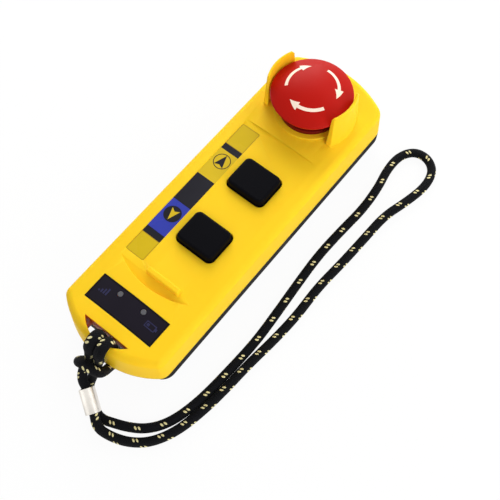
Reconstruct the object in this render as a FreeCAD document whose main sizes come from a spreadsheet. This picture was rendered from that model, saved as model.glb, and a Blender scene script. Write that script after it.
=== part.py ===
"""Hand-held radio transmitter for a crane: two push buttons, an emergency stop and a wrist lanyard.

Frame: +X across the case, +Y from the lanyard end to the emergency stop, +Z out of the keypad.
The origin is the middle of the underside. Lengths are in millimetres.
"""
import FreeCAD, Part
import math
import os
from types import SimpleNamespace

import Sketcher
from FreeCAD import Placement, Rotation, Vector

SIZES = {
    # case
    "body_length": 186, "body_width": 59, "parting_height": 14.5, "panel_height": 31,
    "panel_inset": 8.6, "crown_rise": 1.3, "draft_angle": 4, "wall": 2.5, "top_wall": 2.6,
    "tail_radius": 43.5, "tail_corner": 5.8, "head_radius": 58, "head_corner": 8, "top_round": 4,
    "panel_head_gap": 23.3, "panel_arc_inset": 35, "panel_arc_radius": 41, "panel_margin": 3,
    # lower case
    "pocket_length": 9.8, "lower_corner": 7, "band_height": 6.5, "under_angle": 20, "under_round": 2.5,
    "knuckle_round": 5, "floor": 2.5,
    # lanyard slot and the open pocket under it
    "slot_inset": 8.8, "slot_width": 25.2, "slot_depth": 5.6, "end_wall": 3.1, "pocket_width": 27,
    "slot_plate": 3.2,
    # keypad
    "button_x": 4.1, "button_pitch": 36.3, "button_offset": 4.55, "button_width": 21.4,
    "button_length": 17.8, "button_rise": 3.8, "button_corner": 3.2, "button_draft": 4,
    "button_round": 1.4, "button_gap": 0.35, "flange_reach": 1.3, "flange_thickness": 1.2,
    "button_travel": 1.8, "seal_thickness": 1, "seal_reach": 1.9, "running_gap": 0.2,
    "post_radius": 3.5, "button_coil_radius": 6, "button_wire": 0.7, "button_coil_pitch": 1.7,
    "button_coil_socket": 3.4,
    "ridge_gap": 6.8, "ridge_length": 18.7, "ridge_width": 3, "ridge_rise": 3, "ridge_round": 0.9,
    "scoop_depth": 1.3,
    # films
    "strip_side": 0.2, "strip_head": 3.2, "strip_tail": 8.8, "strip_width": 10.4, "strip_corner": 0.8,
    "film": 0.35,
    "film_gap": 0.1, "led_label_inset": 21.9, "led_label_width": 38.6, "led_label_length": 13.4,
    "led_x": 6.8, "led_offset": 3.45, "lens_radius": 1.3, "lens_gap": 0.1, "lens_flange": 2.2,
    "lens_flange_thickness": 1.2, "led_width": 3.2, "led_height": 1,
    # emergency stop
    "stop_inset": 30.7, "stop_diameter": 40, "stop_ring_height": 45, "stop_rim": 3.4, "stop_edge": 1.2,
    "stop_dome_radius": 36, "stop_undercut": 0.6, "stop_hollow": 2.1, "stop_skirt": 3.6, "neck_radius": 8.5,
    "neck_length": 10.6,
    "stem_radius": 4, "stem_gap": 0.06, "stem_collar": 5.5, "stem_collar_height": 1.8, "stem_tail": 3,
    "seat_height": 33, "seat_radius": 17.8, "stop_seal": 0.5, "bush_flange": 17.2,
    "bush_flange_thickness": 2, "bush_radius": 11, "bush_bore": 8.7, "bush_foot": 20, "bush_floor": 2.5,
    "nut_flats": 27, "nut_thickness": 4, "thread_gap": 0.05, "stop_coil_radius": 6.4, "stop_wire": 0.9,
    "stop_pitch": 2.4, "block_width": 26, "block_length": 24, "block_height": 15, "block_cavity": 6.2,
    "block_cavity_depth": 9, "terminal_step": 5, "terminal_width": 3.6, "terminal_radius": 2.2,
    "guard_inner": 20.7, "guard_thickness": 2.4, "guard_top": 52, "guard_base_half": 11,
    "guard_top_half": 9.7, "guard_corner": 1.2, "guard_foot": 33, "guard_lean": 1.2, "guard_round": 0.5,
    # circuit board
    "board_width": 48, "board_head_gap": 25.3, "board_step_inset": 31, "board_tail_inset": 19,
    "tongue_width": 26,
    "board_top": 22.2, "board_thickness": 1.6, "board_screw_x": 21.4, "board_screw_inset": 5,
    "standoff_radius": 2.6, "board_screw_radius": 1, "board_screw_head": 2,
    "board_screw_depth": 5, "board_screw_head_height": 1.3, "screw_gap": 0.1,
    "switch_width": 7, "switch_height": 1, "switch_plunger": 1.8, "switch_rise": 0.4,
    "radio_x": -16, "radio_inset": 14.8, "radio_width": 14, "radio_length": 18, "radio_height": 3,
    "chip_x": -15.5, "chip_width": 10, "chip_height": 1.2,
    "aerial_gap": 16, "aerial_wire": 1, "aerial_pitch": 5, "aerial_reach": 7,
    # batteries
    "cell_radius": 7.25, "cell_length": 49.5, "cell_nub": 1, "cell_nub_radius": 2.75, "cell_pitch": 14.9,
    "cell_height": 10.5, "bay_inset": 21.2, "contact_room": 3.75, "bay_width": 30, "bay_wall": 1.4,
    "bay_top": 18.2, "contact_thickness": 0.4, "contact_width": 9, "leaf_width": 5,
    "door_thickness": 2.4, "door_recess": 0.4, "door_width": 31.6, "door_tongue": 1.2, "door_gap": 0.2,
    "door_head_lap": 0.8, "door_tail_lap": 5, "door_lap": 1, "rail_margin": 2, "rail_roof": 1.6,
    "grip_pitch": 2.2, "grip_depth": 0.6, "grip_width": 1, "grip_length": 16,
    # case screws and gasket
    "screw_head_x": 20, "screw_head_inset": 13, "screw_tail_x": 21.6, "screw_tail_inset": 24,
    "screw_radius": 1.3, "screw_length": 14, "screw_cap_radius": 2.5, "screw_cap_height": 2,
    "screw_sink": 9, "boss_radius": 3.4, "gasket_inset": 0.6, "gasket_width": 1.3, "gasket_depth": 0.8,
    # lanyard
    "cord_diameter": 4.5, "crimp_length": 11.5, "crimp_wall": 0.4, "crimp_gap": 0.05,
    "strand_gap": 0.1, "crimp_x": 8.35, "crimp_y": -108.45, "crimp_z": 8.1,
}
CRIMP_YAW, CRIMP_PITCH, CRIMP_ROLL = -33.4, 20.4, 3

doc = FreeCAD.newDocument("crane_transmitter")
sheet = doc.addObject("Spreadsheet::Sheet", "Sizes")
for row, (alias, number) in enumerate(SIZES.items(), 1):
    sheet.set(f"A{row}", alias)
    sheet.set(f"B{row}", str(number))
    sheet.setAlias(f"B{row}", alias)
doc.recompute()


class Size:
    """A length that knows its own expression, so what is drawn with it follows the sheet."""

    def __init__(self, value, text):
        self.value = value
        self.text = text

    @staticmethod
    def of(other):
        return other if isinstance(other, Size) else Size(float(other), f"({float(other)!r})")

    def __add__(self, other):
        other = Size.of(other)
        return Size(self.value + other.value, f"({self.text} + {other.text})")

    def __sub__(self, other):
        other = Size.of(other)
        return Size(self.value - other.value, f"({self.text} - {other.text})")

    def __mul__(self, other):
        other = Size.of(other)
        return Size(self.value * other.value, f"({self.text} * {other.text})")

    def __truediv__(self, other):
        other = Size.of(other)
        return Size(self.value / other.value, f"({self.text} / {other.text})")

    def __rsub__(self, other):
        return Size.of(other) - self

    def __neg__(self):
        return Size(-self.value, f"(0 - {self.text})")

    def root(self):
        return Size(math.sqrt(self.value), f"sqrt({self.text})")

    __radd__ = __add__
    __rmul__ = __mul__


def cosine(angle):
    return Size(math.cos(math.radians(angle.value)), f"cos({angle.text})")


def tangent(angle):
    return Size(math.tan(math.radians(angle.value)), f"tan({angle.text})")


size = SimpleNamespace(**{alias: Size(sheet.get(alias), f"Sizes.{alias}") for alias in SIZES})
ZERO = Size.of(0)
nodes = {}


def bind(target, name, length):
    target.setExpression(name, Size.of(length).text)


def plane(body, role):
    return next(item for item in body.Origin.OriginFeatures if item.Role == role)


class Disc:
    """A circle of a sketch."""

    def __init__(self, x, y, radius):
        self.x, self.y, self.radius = Size.of(x), Size.of(y), Size.of(radius)


def arc_between(start, end, bend):
    """The arc of radius |bend| from start to end, turning left where bend is above zero."""
    middle = (start + end) * 0.5
    along = end - start
    rise = math.sqrt(bend * bend - along.Length ** 2 / 4)
    left = Vector(-along.y, along.x, 0).normalize()
    centre = middle + left * math.copysign(rise, bend)
    first, last = (start, end) if bend > 0 else (end, start)
    angles = [math.atan2(point.y - centre.y, point.x - centre.x) for point in (first, last)]
    if angles[1] < angles[0]:
        angles[1] += 2 * math.pi
    return Part.ArcOfCircle(Part.Circle(centre, Vector(0, 0, 1), abs(bend)), *angles)


def add_datum(sketch, kind, *place, length):
    index = sketch.addConstraint(Sketcher.Constraint(kind, *place, length.value))
    bind(sketch, f"Constraints[{index}]", length)


def add_disc(sketch, disc):
    circle = Part.Circle(Vector(disc.x.value, disc.y.value, 0), Vector(0, 0, 1), disc.radius.value)
    index = sketch.addGeometry(circle, False)
    add_datum(sketch, "DistanceX", -1, 1, index, 3, length=disc.x)
    add_datum(sketch, "DistanceY", -1, 1, index, 3, length=disc.y)
    add_datum(sketch, "Radius", index, length=disc.radius)


def add_loop(sketch, loop):
    """A closed outline of corners (x, y) or (x, y, bend), where bend is the arc that ends there."""
    corners = [(Size.of(corner[0]), Size.of(corner[1])) for corner in loop]
    bends = [Size.of(corner[2]) if len(corner) > 2 else ZERO for corner in loop]
    points = [Vector(x.value, y.value, 0) for x, y in corners]
    pieces = []
    for index, bend in enumerate(bends):
        start, end = points[index - 1], points[index]
        if bend.value == 0:
            pieces.append((sketch.addGeometry(Part.LineSegment(start, end), False), 1, 2))
        else:
            piece = sketch.addGeometry(arc_between(start, end, bend.value), False)
            pieces.append((piece, 1, 2) if bend.value > 0 else (piece, 2, 1))
            add_datum(sketch, "Radius", piece, length=bend if bend.value > 0 else -bend)
    for index, (piece, _, end) in enumerate(pieces):
        following, start, _ = pieces[(index + 1) % len(pieces)]
        sketch.addConstraint(Sketcher.Constraint("Coincident", piece, end, following, start))
        add_datum(sketch, "DistanceX", -1, 1, piece, end, length=corners[index][0])
        add_datum(sketch, "DistanceY", -1, 1, piece, end, length=corners[index][1])


def draw(body, role, level, *shapes):
    """A sketch on an origin plane of the body, moved by level along the plane's normal."""
    sketch = body.newObject("Sketcher::SketchObject", "outline")
    sketch.AttachmentSupport = [(plane(body, role), "")]
    sketch.MapMode = "FlatFace"
    bind(sketch, "AttachmentOffset.Base.z", level)
    for shape in shapes:
        if isinstance(shape, Disc):
            add_disc(sketch, shape)
        else:
            add_loop(sketch, shape)
    return sketch


def check(feature):
    doc.recompute()
    if "Invalid" in feature.State or "Error" in feature.State or feature.Shape.isNull():
        raise RuntimeError(f"{feature.Label} of {feature.getParentGeoFeatureGroup().Label}: {feature.State}")
    return feature


def extrude(body, kind, sketch, length, flip, taper, middle):
    feature = body.newObject(kind, kind.split("::")[1].lower())
    feature.Profile = sketch
    if length is None:
        feature.Type = "ThroughAll"
    else:
        bind(feature, "Length", length)
    feature.Reversed = flip
    feature.Midplane = middle
    if taper is not None:
        bind(feature, "TaperAngle", -taper)
    return check(feature)


def pad(body, sketch, length, down=False, taper=None, middle=False):
    return extrude(body, "PartDesign::Pad", sketch, length, down, taper, middle)


def pocket(body, sketch, length=None, up=False, taper=None, middle=False):
    before = body.Shape.Volume
    feature = extrude(body, "PartDesign::Pocket", sketch, length, up, taper, middle)
    if feature.Shape.Volume > before - 0.001:
        raise RuntimeError(f"a pocket of {body.Label} cuts nothing")
    return feature


def turn_off(body, sketch):
    """Cuts what the sketch sweeps when it turns once about its own upright axis."""
    before = body.Shape.Volume
    feature = body.newObject("PartDesign::Groove", "groove")
    feature.Profile = sketch
    feature.ReferenceAxis = (sketch, ["V_Axis"])
    feature.Angle = 360
    if check(feature).Shape.Volume > before - 0.001:
        raise RuntimeError(f"a groove of {body.Label} cuts nothing")


def edges_of(shape, wanted):
    return [f"Edge{index}" for index, edge in enumerate(shape.Edges, 1) if wanted(edge)]


def at_height(level):
    """A test for edges that lie wholly at one height."""
    def lies_there(edge):
        return abs(edge.BoundBox.ZMin - level.value) < 0.01 and abs(edge.BoundBox.ZMax - level.value) < 0.01
    return lies_there


def fillet(body, base, wanted, radius):
    feature = body.newObject("PartDesign::Fillet", "round")
    feature.Base = (base, edges_of(base.Shape, wanted))
    bind(feature, "Radius", radius)
    return check(feature)


def new_body(label):
    body = doc.addObject("PartDesign::Body", label)
    body.Label = label
    return body


def place(target, x=ZERO, y=ZERO, z=ZERO):
    for axis, length in zip("xyz", (x, y, z)):
        bind(target, f"Placement.Base.{axis}", length)


def keep(target):
    """Marks a finished object as one of the sub-parts that are written out."""
    nodes[target.Label] = target
    return target


def turned(label, loop, x=ZERO, y=ZERO, z=ZERO):
    """A body of revolution about its own Z axis from a loop of (radius, height) corners."""
    body = new_body(label)
    sketch = draw(body, "XZ_Plane", ZERO, loop)
    feature = body.newObject("PartDesign::Revolution", "turn")
    feature.Profile = sketch
    feature.ReferenceAxis = (sketch, ["V_Axis"])
    feature.Angle = 360
    check(feature)
    place(body, x, y, z)
    return body


def rectangle(x, y, width, length, corner=None):
    """A rectangle round (x, y), with rounded corners where a radius is given."""
    left, right = x - width / 2, x + width / 2
    low, high = y - length / 2, y + length / 2
    if corner is None:
        return [(left, low), (right, low), (right, high), (left, high)]
    return [
        (left + corner, low, corner), (right - corner, low),
        (right, low + corner, corner), (right, high - corner),
        (right - corner, high, corner), (left + corner, high),
        (left, high - corner, corner), (left, low + corner),
    ]


def slab(label, outline, bottom, thickness):
    body = new_body(label)
    pad(body, draw(body, "XY_Plane", bottom, *outline), thickness)
    return body


def group(label, form, places, half_turns=()):
    """Copies of one body as a group of separate solids, at (x, y, z), some turned half round."""
    copies = []
    for index, spot in enumerate(places):
        copy = doc.addObject("App::Link", f"{label}_{index + 1}")
        copy.LinkedObject = form
        copy.LinkTransform = False
        if index in half_turns:
            copy.Placement = Placement(Vector(), Rotation(Vector(0, 0, 1), 180))
        place(copy, *spot)
        copies.append(copy)
    compound = doc.addObject("Part::Compound", label)
    compound.Label = label
    compound.Links = copies
    return keep(check(compound))


def coil(label, radius, wire, pitch, height, x, y, z):
    """A compression spring that stands on z, with its wire inside the given height."""
    body = new_body(label)
    sketch = draw(body, "XZ_Plane", ZERO, Disc(radius, wire / 2, wire / 2))
    feature = body.newObject("PartDesign::AdditiveHelix", "coil")
    feature.Profile = sketch
    feature.ReferenceAxis = (sketch, ["V_Axis"])
    feature.Mode = "pitch-height-angle"
    bind(feature, "Pitch", pitch)
    bind(feature, "Height", height - wire)
    check(feature)
    place(body, x, y, z)
    return keep(body)


# Heights and places that several pieces share
half_width = size.body_width / 2
half_length = size.body_length / 2
stop_y = half_length - size.stop_inset
lower_tail_y = size.pocket_length - half_length
slot_y = size.slot_inset - half_length
panel_head_y = stop_y - size.panel_head_gap
panel_arc_y = size.panel_arc_inset - half_length
up_button_y = (panel_head_y + panel_arc_y) / 2 + size.button_offset + size.button_pitch / 2
down_button_y = up_button_y - size.button_pitch
ridge_y = panel_arc_y + size.ridge_gap
scoop_y = ridge_y - size.ridge_width / 2
strip_head_y = panel_head_y - size.strip_head
strip_length = strip_head_y - panel_arc_y - size.strip_tail
strip_y = strip_head_y - strip_length / 2
led_label_y = size.led_label_inset - half_length
led_y = led_label_y + size.led_offset
board_head_y = stop_y - size.board_head_gap
radio_y = board_head_y - size.radio_inset - size.radio_length / 2
board_step_y = size.board_step_inset - half_length
board_tail_y = size.board_tail_inset - half_length
bay_length = size.cell_length + 2 * size.contact_room
bay_tail_y = lower_tail_y + size.bay_inset
bay_y = bay_tail_y + bay_length / 2
door_head_y = bay_tail_y + bay_length + size.door_head_lap
door_tail_y = bay_tail_y - size.door_tail_lap
door_slide = size.door_width / 2 + size.door_tongue + size.door_gap
ceiling = size.panel_height - size.top_wall
crown_top = size.panel_height + size.crown_rise
half_panel = half_width - size.panel_inset
strip_x = size.strip_side + size.strip_width / 2 - half_panel
crown_radius = (half_panel * half_panel + size.crown_rise * size.crown_rise) / (2 * size.crown_rise)
crown_centre = crown_top - crown_radius
knuckle = size.parting_height - size.band_height
board_foot = size.board_top - size.board_thickness
pocket_roof = crown_top - size.slot_plate
flange_top = ceiling - size.seal_thickness - size.running_gap
flange_foot = flange_top - size.flange_thickness
switch_top = size.board_top + size.switch_height + size.switch_rise
post_foot = switch_top + size.button_travel + size.running_gap
button_top = size.panel_height + size.button_rise
coil_seat = post_foot + size.button_coil_socket
bush_top = size.seat_height + size.stop_seal + size.bush_flange_thickness
rim_foot = size.stop_ring_height - size.stop_rim
neck_foot = rim_foot + size.stop_hollow - size.neck_length
rail_top = size.door_recess + size.door_thickness
screw_rows = [
    (size.screw_head_x, half_length - size.screw_head_inset),
    (size.screw_tail_x, size.screw_tail_inset - half_length),
]
case_screws = [
    (side * x, y)
    for x, y in screw_rows
    for side in (-1, 1)
]
board_screws = [
    (side * size.board_screw_x, y)
    for y in (board_head_y - size.board_screw_inset, board_step_y + size.board_screw_inset)
    for side in (-1, 1)
]


def crown_height(x, depth=ZERO):
    """The height of the crowned top, less depth, at a distance x from the middle."""
    radius = crown_radius - depth
    return crown_centre + (radius * radius - x * x).root()


def end_corner(apex, radius, corner, half):
    """Where a rounded corner meets the straight side and the end arc, for an end at y = apex."""
    towards = 1 if apex.value > 0 else -1
    centre = apex - towards * radius
    reach = ((radius - corner) * (radius - corner) - (half - corner) * (half - corner)).root()
    stretch = radius / (radius - corner)
    side_y = centre + towards * reach
    return side_y, (half - corner) * stretch, centre + towards * (reach * stretch)


def head_corners(inset):
    """The head end of the case's outline, from the right side round to the left."""
    half, radius, corner = half_width - inset, size.head_radius - inset, size.head_corner - inset
    side_y, touch_x, touch_y = end_corner(half_length - inset, radius, corner, half)
    return [
        (half, side_y), (touch_x, touch_y, corner), (-touch_x, touch_y, radius), (-half, side_y, corner),
    ]


def upper_outline():
    """The whole outline of the case at its parting line."""
    side_y, touch_x, touch_y = end_corner(-half_length, size.tail_radius, size.tail_corner, half_width)
    tail = [
        (-touch_x, touch_y, size.tail_corner), (touch_x, touch_y, size.tail_radius),
        (half_width, side_y, size.tail_corner),
    ]
    return tail + head_corners(ZERO) + [(-half_width, side_y)]


def lower_outline(inset):
    """The outline of the lower case, which stops square in front of the lanyard pocket."""
    half, corner, tail = half_width - inset, size.lower_corner - inset, lower_tail_y + inset
    square = [(corner - half, tail, corner), (half - corner, tail), (half, tail + corner, corner)]
    return square + head_corners(inset) + [(-half, tail + corner)]


def cavity_outline():
    """The inside of the upper case, up to the bulkhead of the lanyard pocket."""
    half, tail = half_width - size.wall, lower_tail_y + size.wall
    return [(-half, tail), (half, tail)] + head_corners(size.wall)


def crown_band(half, depth):
    """The space over the crown sunk by depth, out to half, in the plane across the case."""
    over = crown_top + size.crown_rise
    edge = crown_height(half, depth)
    return [(-half, over), (-half, edge), (half, edge, depth - crown_radius), (half, over)]


def petal(side):
    """The foot of a guard: a piece of a ring about the emergency stop, on one side of it."""
    inner, outer, half = size.guard_inner, size.guard_inner + size.guard_thickness, size.guard_base_half
    near, far = (inner * inner - half * half).root(), (outer * outer - half * half).root()
    low, high = stop_y - half, stop_y + half
    if side > 0:
        return [(near, low, -inner), (far, low), (far, high, outer), (near, high)]
    return [(-near, high, -inner), (-far, high), (-far, low, outer), (-near, low)]


def petal_trim():
    """The space round both guards as seen from the side, with their sloped ends and round corners."""
    foot, top, corner = size.guard_foot, size.guard_top, size.guard_corner
    base, crest = size.guard_base_half, size.guard_top_half
    reach = size.guard_inner + size.guard_thickness + size.guard_corner
    slope = (base - crest) / (top - foot)
    shoulder = crest + slope * corner
    middle = stop_y
    over = top + corner
    flat = crest - corner
    return [
        (middle - reach, foot), (middle - base, foot), (middle - shoulder, top - corner),
        (middle - flat, top, -corner * (1 + slope)), (middle + flat, top),
        (middle + shoulder, top - corner, -corner * (1 + slope)), (middle + base, foot),
        (middle + reach, foot), (middle + reach, over), (middle - reach, over),
    ]


def guard_draft():
    """What is turned away outside the guards, so that they lean in and end in a round edge."""
    outer = size.guard_inner + size.guard_thickness
    thin, top, edge = outer - size.guard_lean, size.guard_top, size.guard_round
    reach, over = outer + size.guard_corner, size.guard_top + size.guard_corner
    return [
        (outer, size.guard_foot), (reach, size.guard_foot), (reach, over), (thin - edge, over),
        (thin - edge, top), (thin, top - edge, -edge),
    ]


def slot_loop():
    """The half-moon lanyard slot."""
    half, depth = size.slot_width / 2, size.slot_depth
    bend = (half * half + depth * depth) / (2 * depth)
    return [(-half, slot_y), (0, slot_y - depth, bend), (half, slot_y, bend)]


def pocket_loop():
    """The open-bottomed pocket under the slot, out to the inside of the end wall."""
    half, bend = size.pocket_width / 2, size.tail_radius - size.end_wall
    edge = size.tail_radius - half_length - (bend * bend - half * half).root()
    return [(half, lower_tail_y), (-half, lower_tail_y), (-half, edge), (half, edge, bend)]


def panel_loop():
    """The sunk keypad: straight towards the emergency stop, curved towards the lanyard."""
    half, bend = half_panel + size.panel_margin, size.panel_arc_radius
    edge = panel_arc_y + bend - (bend * bend - half * half).root()
    return [(-half, panel_head_y), (-half, edge), (half, edge, bend), (half, panel_head_y)]


def scoop_loop():
    """The half-moon hollow between the finger ridge and the curved end of the keypad."""
    bend, rise = size.panel_arc_radius, scoop_y - panel_arc_y
    half = (bend * bend - (bend - rise) * (bend - rise)).root()
    return [(-half, scoop_y), (0, panel_arc_y, bend), (half, scoop_y, bend)]


def scoop_ramp():
    """The sloping floor of that hollow, seen from the side."""
    low = ceiling + size.film
    deep = size.panel_height - size.scoop_depth
    return [(scoop_y, low), (scoop_y, size.panel_height), (panel_arc_y, deep), (panel_arc_y, low)]


def button_loop(y, extra, corner):
    width, length = size.button_width + 2 * extra, size.button_length + 2 * extra
    return rectangle(size.button_x, y, width, length, corner)


def strip_loop(gap):
    return rectangle(strip_x, strip_y, size.strip_width + gap, strip_length + gap, size.strip_corner)


def upper_housing():
    """The moulded top: crowned and drafted shell, sunk keypad, guards, slot and inner bosses."""
    body = new_body("upper_housing")
    height = crown_top + size.crown_rise - size.parting_height
    pad(body, draw(body, "XY_Plane", size.parting_height, upper_outline()), height, taper=size.draft_angle)
    crown = pocket(body, draw(body, "XZ_Plane", ZERO, crown_band(half_width, ZERO)), middle=True)
    top_edges = max(crown.Shape.Faces, key=lambda face: face.CenterOfMass.z).Edges
    fillet(body, crown, lambda edge: any(edge.isSame(other) for other in top_edges), size.top_round)
    pocket(body, draw(body, "XY_Plane", size.panel_height, panel_loop()), up=True)
    cavity = draw(body, "XY_Plane", size.parting_height, cavity_outline())
    pocket(body, cavity, ceiling - size.parting_height, up=True, taper=size.draft_angle)
    under_slot = draw(body, "XY_Plane", size.parting_height, pocket_loop())
    pocket(body, under_slot, pocket_roof - size.parting_height, up=True)
    pocket(body, draw(body, "XY_Plane", size.parting_height, slot_loop()), up=True)
    add_guards(body)
    add_keypad_openings(body)
    add_inner_bosses(body)
    return keep(body)


def add_guards(body):
    """The two petals beside the emergency stop, and its raised seat with a round hole."""
    guards = draw(body, "XY_Plane", ceiling, petal(-1), petal(1))
    pad(body, guards, size.guard_top - ceiling)
    pocket(body, draw(body, "YZ_Plane", ZERO, petal_trim()), middle=True)
    turn_off(body, draw(body, "XZ_Plane", -stop_y, guard_draft()))
    seat = draw(body, "XY_Plane", ceiling, Disc(ZERO, stop_y, size.seat_radius))
    pad(body, seat, size.seat_height - ceiling)
    hole = draw(body, "XY_Plane", size.seat_height, Disc(ZERO, stop_y, size.bush_radius + size.thread_gap))
    pocket(body, hole)


def add_keypad_openings(body):
    """The finger ridge and its hollow, the button openings, the film recesses and the lamp holes."""
    pocket(body, draw(body, "XY_Plane", size.panel_height, scoop_loop()), size.scoop_depth)
    pad(body, draw(body, "YZ_Plane", ZERO, scoop_ramp()), 2 * half_panel - size.strip_side, middle=True)
    ridge = rectangle(size.button_x, ridge_y, size.ridge_length, size.ridge_width, size.ridge_round)
    ridge_top = size.panel_height + size.ridge_rise
    bar = pad(body, draw(body, "XY_Plane", ceiling, ridge), ridge_top - ceiling)
    fillet(body, bar, at_height(ridge_top), size.ridge_round)
    for y in (up_button_y, down_button_y):
        opening = button_loop(y, size.button_gap, size.button_corner)
        pocket(body, draw(body, "XY_Plane", size.panel_height, opening))
    pocket(body, draw(body, "XY_Plane", size.panel_height, strip_loop(size.film_gap)), size.film)
    film_half = (size.led_label_width + size.film_gap) / 2
    recess = draw(body, "XZ_Plane", -led_label_y, crown_band(film_half, size.film))
    pocket(body, recess, size.led_label_length + size.film_gap, middle=True)
    lamp_holes = [Disc(side * size.led_x, led_y, size.lens_radius + size.lens_gap) for side in (-1, 1)]
    pocket(body, draw(body, "XY_Plane", crown_top, *lamp_holes))


def add_inner_bosses(body):
    """Bosses for the case screws and standoffs for the circuit board, with their pilot holes."""
    bosses = [Disc(x, y, size.boss_radius) for x, y in case_screws]
    pad(body, draw(body, "XY_Plane", size.parting_height, *bosses), ceiling - size.parting_height + size.film)
    pilots = [Disc(x, y, size.screw_radius + size.screw_gap) for x, y in case_screws]
    deep = size.screw_sink + size.screw_length + size.screw_gap - size.parting_height
    pocket(body, draw(body, "XY_Plane", size.parting_height, *pilots), deep, up=True)
    standoffs = [Disc(x, y, size.standoff_radius) for x, y in board_screws]
    pad(body, draw(body, "XY_Plane", size.board_top, *standoffs), ceiling - size.board_top + size.film)
    pilots = [Disc(x, y, size.board_screw_radius + size.screw_gap) for x, y in board_screws]
    pocket(body, draw(body, "XY_Plane", size.board_top, *pilots), size.board_screw_depth, up=True)


def lower_housing():
    """The black tub: upright band, sloping flanks, battery bay, door rails and screw columns."""
    body = new_body("lower_housing")
    pad(body, draw(body, "XY_Plane", knuckle, lower_outline(ZERO)), size.band_height)
    under = draw(body, "XY_Plane", knuckle, lower_outline(ZERO))
    flank = pad(body, under, knuckle, down=True, taper=size.under_angle)
    rounded = fillet(body, flank, at_height(ZERO), size.under_round)
    fillet(body, rounded, at_height(knuckle), size.knuckle_round)
    inside = draw(body, "XY_Plane", knuckle, lower_outline(size.wall))
    pocket(body, inside, up=True)
    inside = draw(body, "XY_Plane", knuckle, lower_outline(size.wall))
    pocket(body, inside, knuckle - size.floor, taper=size.under_angle)
    add_battery_bay(body)
    add_screw_columns(body)
    cut_battery_bay(body)
    cut_screw_holes(body)
    cut_gasket_groove(body)
    return keep(body)


def channel(half):
    """The door's way in the underside, open towards the lanyard end."""
    head = door_head_y + size.door_gap
    return [(-half, -half_length), (half, -half_length), (half, head), (-half, head)]


def add_battery_bay(body):
    """The roofed box for the cells and the thick floor beside it, which becomes the door's rails."""
    rails = door_slide + size.rail_margin
    tail = lower_tail_y + size.wall
    head = door_head_y + size.rail_margin
    block = [(-rails, tail), (rails, tail), (rails, head), (-rails, head)]
    pad(body, draw(body, "XY_Plane", size.door_recess, block), rail_top + size.rail_roof - size.door_recess)
    outer = rectangle(ZERO, bay_y, size.bay_width + 2 * size.bay_wall, bay_length + 2 * size.bay_wall)
    pad(body, draw(body, "XY_Plane", rail_top, outer), size.bay_top + size.bay_wall - rail_top)


def cut_battery_bay(body):
    """The inside of the bay and the undercut channel that the sliding door runs in."""
    inner = rectangle(ZERO, bay_y, size.bay_width, bay_length)
    pocket(body, draw(body, "XY_Plane", ZERO, inner), size.bay_top, up=True)
    step = rail_top - size.door_lap - size.running_gap
    pocket(body, draw(body, "XY_Plane", ZERO, channel(size.door_width / 2 + size.door_gap)), step, up=True)
    undercut = draw(body, "XY_Plane", step, channel(door_slide))
    pocket(body, undercut, rail_top + size.running_gap - step, up=True)


def add_screw_columns(body):
    """Columns for the case screws."""
    columns = [Disc(x, y, size.boss_radius + size.bay_wall) for x, y in case_screws]
    pad(body, draw(body, "XY_Plane", size.door_recess, *columns), size.parting_height - size.door_recess)


def cut_screw_holes(body):
    """A counterbore from below and a through hole in each column."""
    sinks = [Disc(x, y, size.screw_cap_radius + size.running_gap) for x, y in case_screws]
    pocket(body, draw(body, "XY_Plane", ZERO, *sinks), size.screw_sink, up=True)
    holes = [Disc(x, y, size.screw_radius + size.running_gap) for x, y in case_screws]
    pocket(body, draw(body, "XY_Plane", size.screw_sink, *holes), up=True)


def cut_gasket_groove(body):
    inset = size.gasket_inset
    loops = [lower_outline(inset), lower_outline(inset + size.gasket_width)]
    pocket(body, draw(body, "XY_Plane", size.parting_height, *loops), size.gasket_depth)


def housing_gasket():
    inset, gap = size.gasket_inset + size.film_gap, size.film_gap
    loops = [lower_outline(inset), lower_outline(inset + size.gasket_width - 2 * gap)]
    return keep(slab("housing_gasket", loops, size.parting_height - size.gasket_depth, size.gasket_depth))


def screw_form(label, radius, length, cap_radius, cap_height):
    """A pan-head screw that stands on its head, with the shank up from z = 0."""
    crest = cap_radius * 0.75
    return turned(label, [
        (0, -cap_height), (crest, -cap_height), (cap_radius, -cap_height / 2, cap_radius),
        (cap_radius, 0), (radius, 0), (radius, length - radius), (0, length),
    ])


def fasteners():
    """The case screws, driven from below, and the screws that hang the board under the top."""
    case_screw = screw_form(
        "case_screw", size.screw_radius, size.screw_length, size.screw_cap_radius, size.screw_cap_height,
    )
    group("housing_screws", case_screw, [(x, y, size.screw_sink) for x, y in case_screws])
    small_screw = screw_form(
        "small_screw", size.board_screw_radius, size.board_screw_depth, size.board_screw_head,
        size.board_screw_head_height,
    )
    group("board_screws", small_screw, [(x, y, board_foot) for x, y in board_screws])


def button(label, y):
    """A key with a flange below the opening, a ring socket for its spring and a post over its switch."""
    body = new_body(label)
    flange = draw(body, "XY_Plane", flange_foot, button_loop(y, size.flange_reach, size.button_corner))
    pad(body, flange, size.flange_thickness)
    key = draw(body, "XY_Plane", flange_top, button_loop(y, ZERO, size.button_corner))
    cap = pad(body, key, button_top - flange_top, taper=size.button_draft)
    fillet(body, cap, at_height(button_top), size.button_round)
    post = draw(body, "XY_Plane", post_foot, Disc(size.button_x, y, size.post_radius))
    pad(body, post, flange_top - post_foot)
    reach = size.button_coil_radius + size.button_wire / 2 + size.running_gap
    socket = draw(
        body, "XY_Plane", post_foot,
        Disc(size.button_x, y, reach), Disc(size.button_x, y, size.post_radius),
    )
    pocket(body, socket, size.button_coil_socket, up=True)
    return keep(body)


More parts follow.
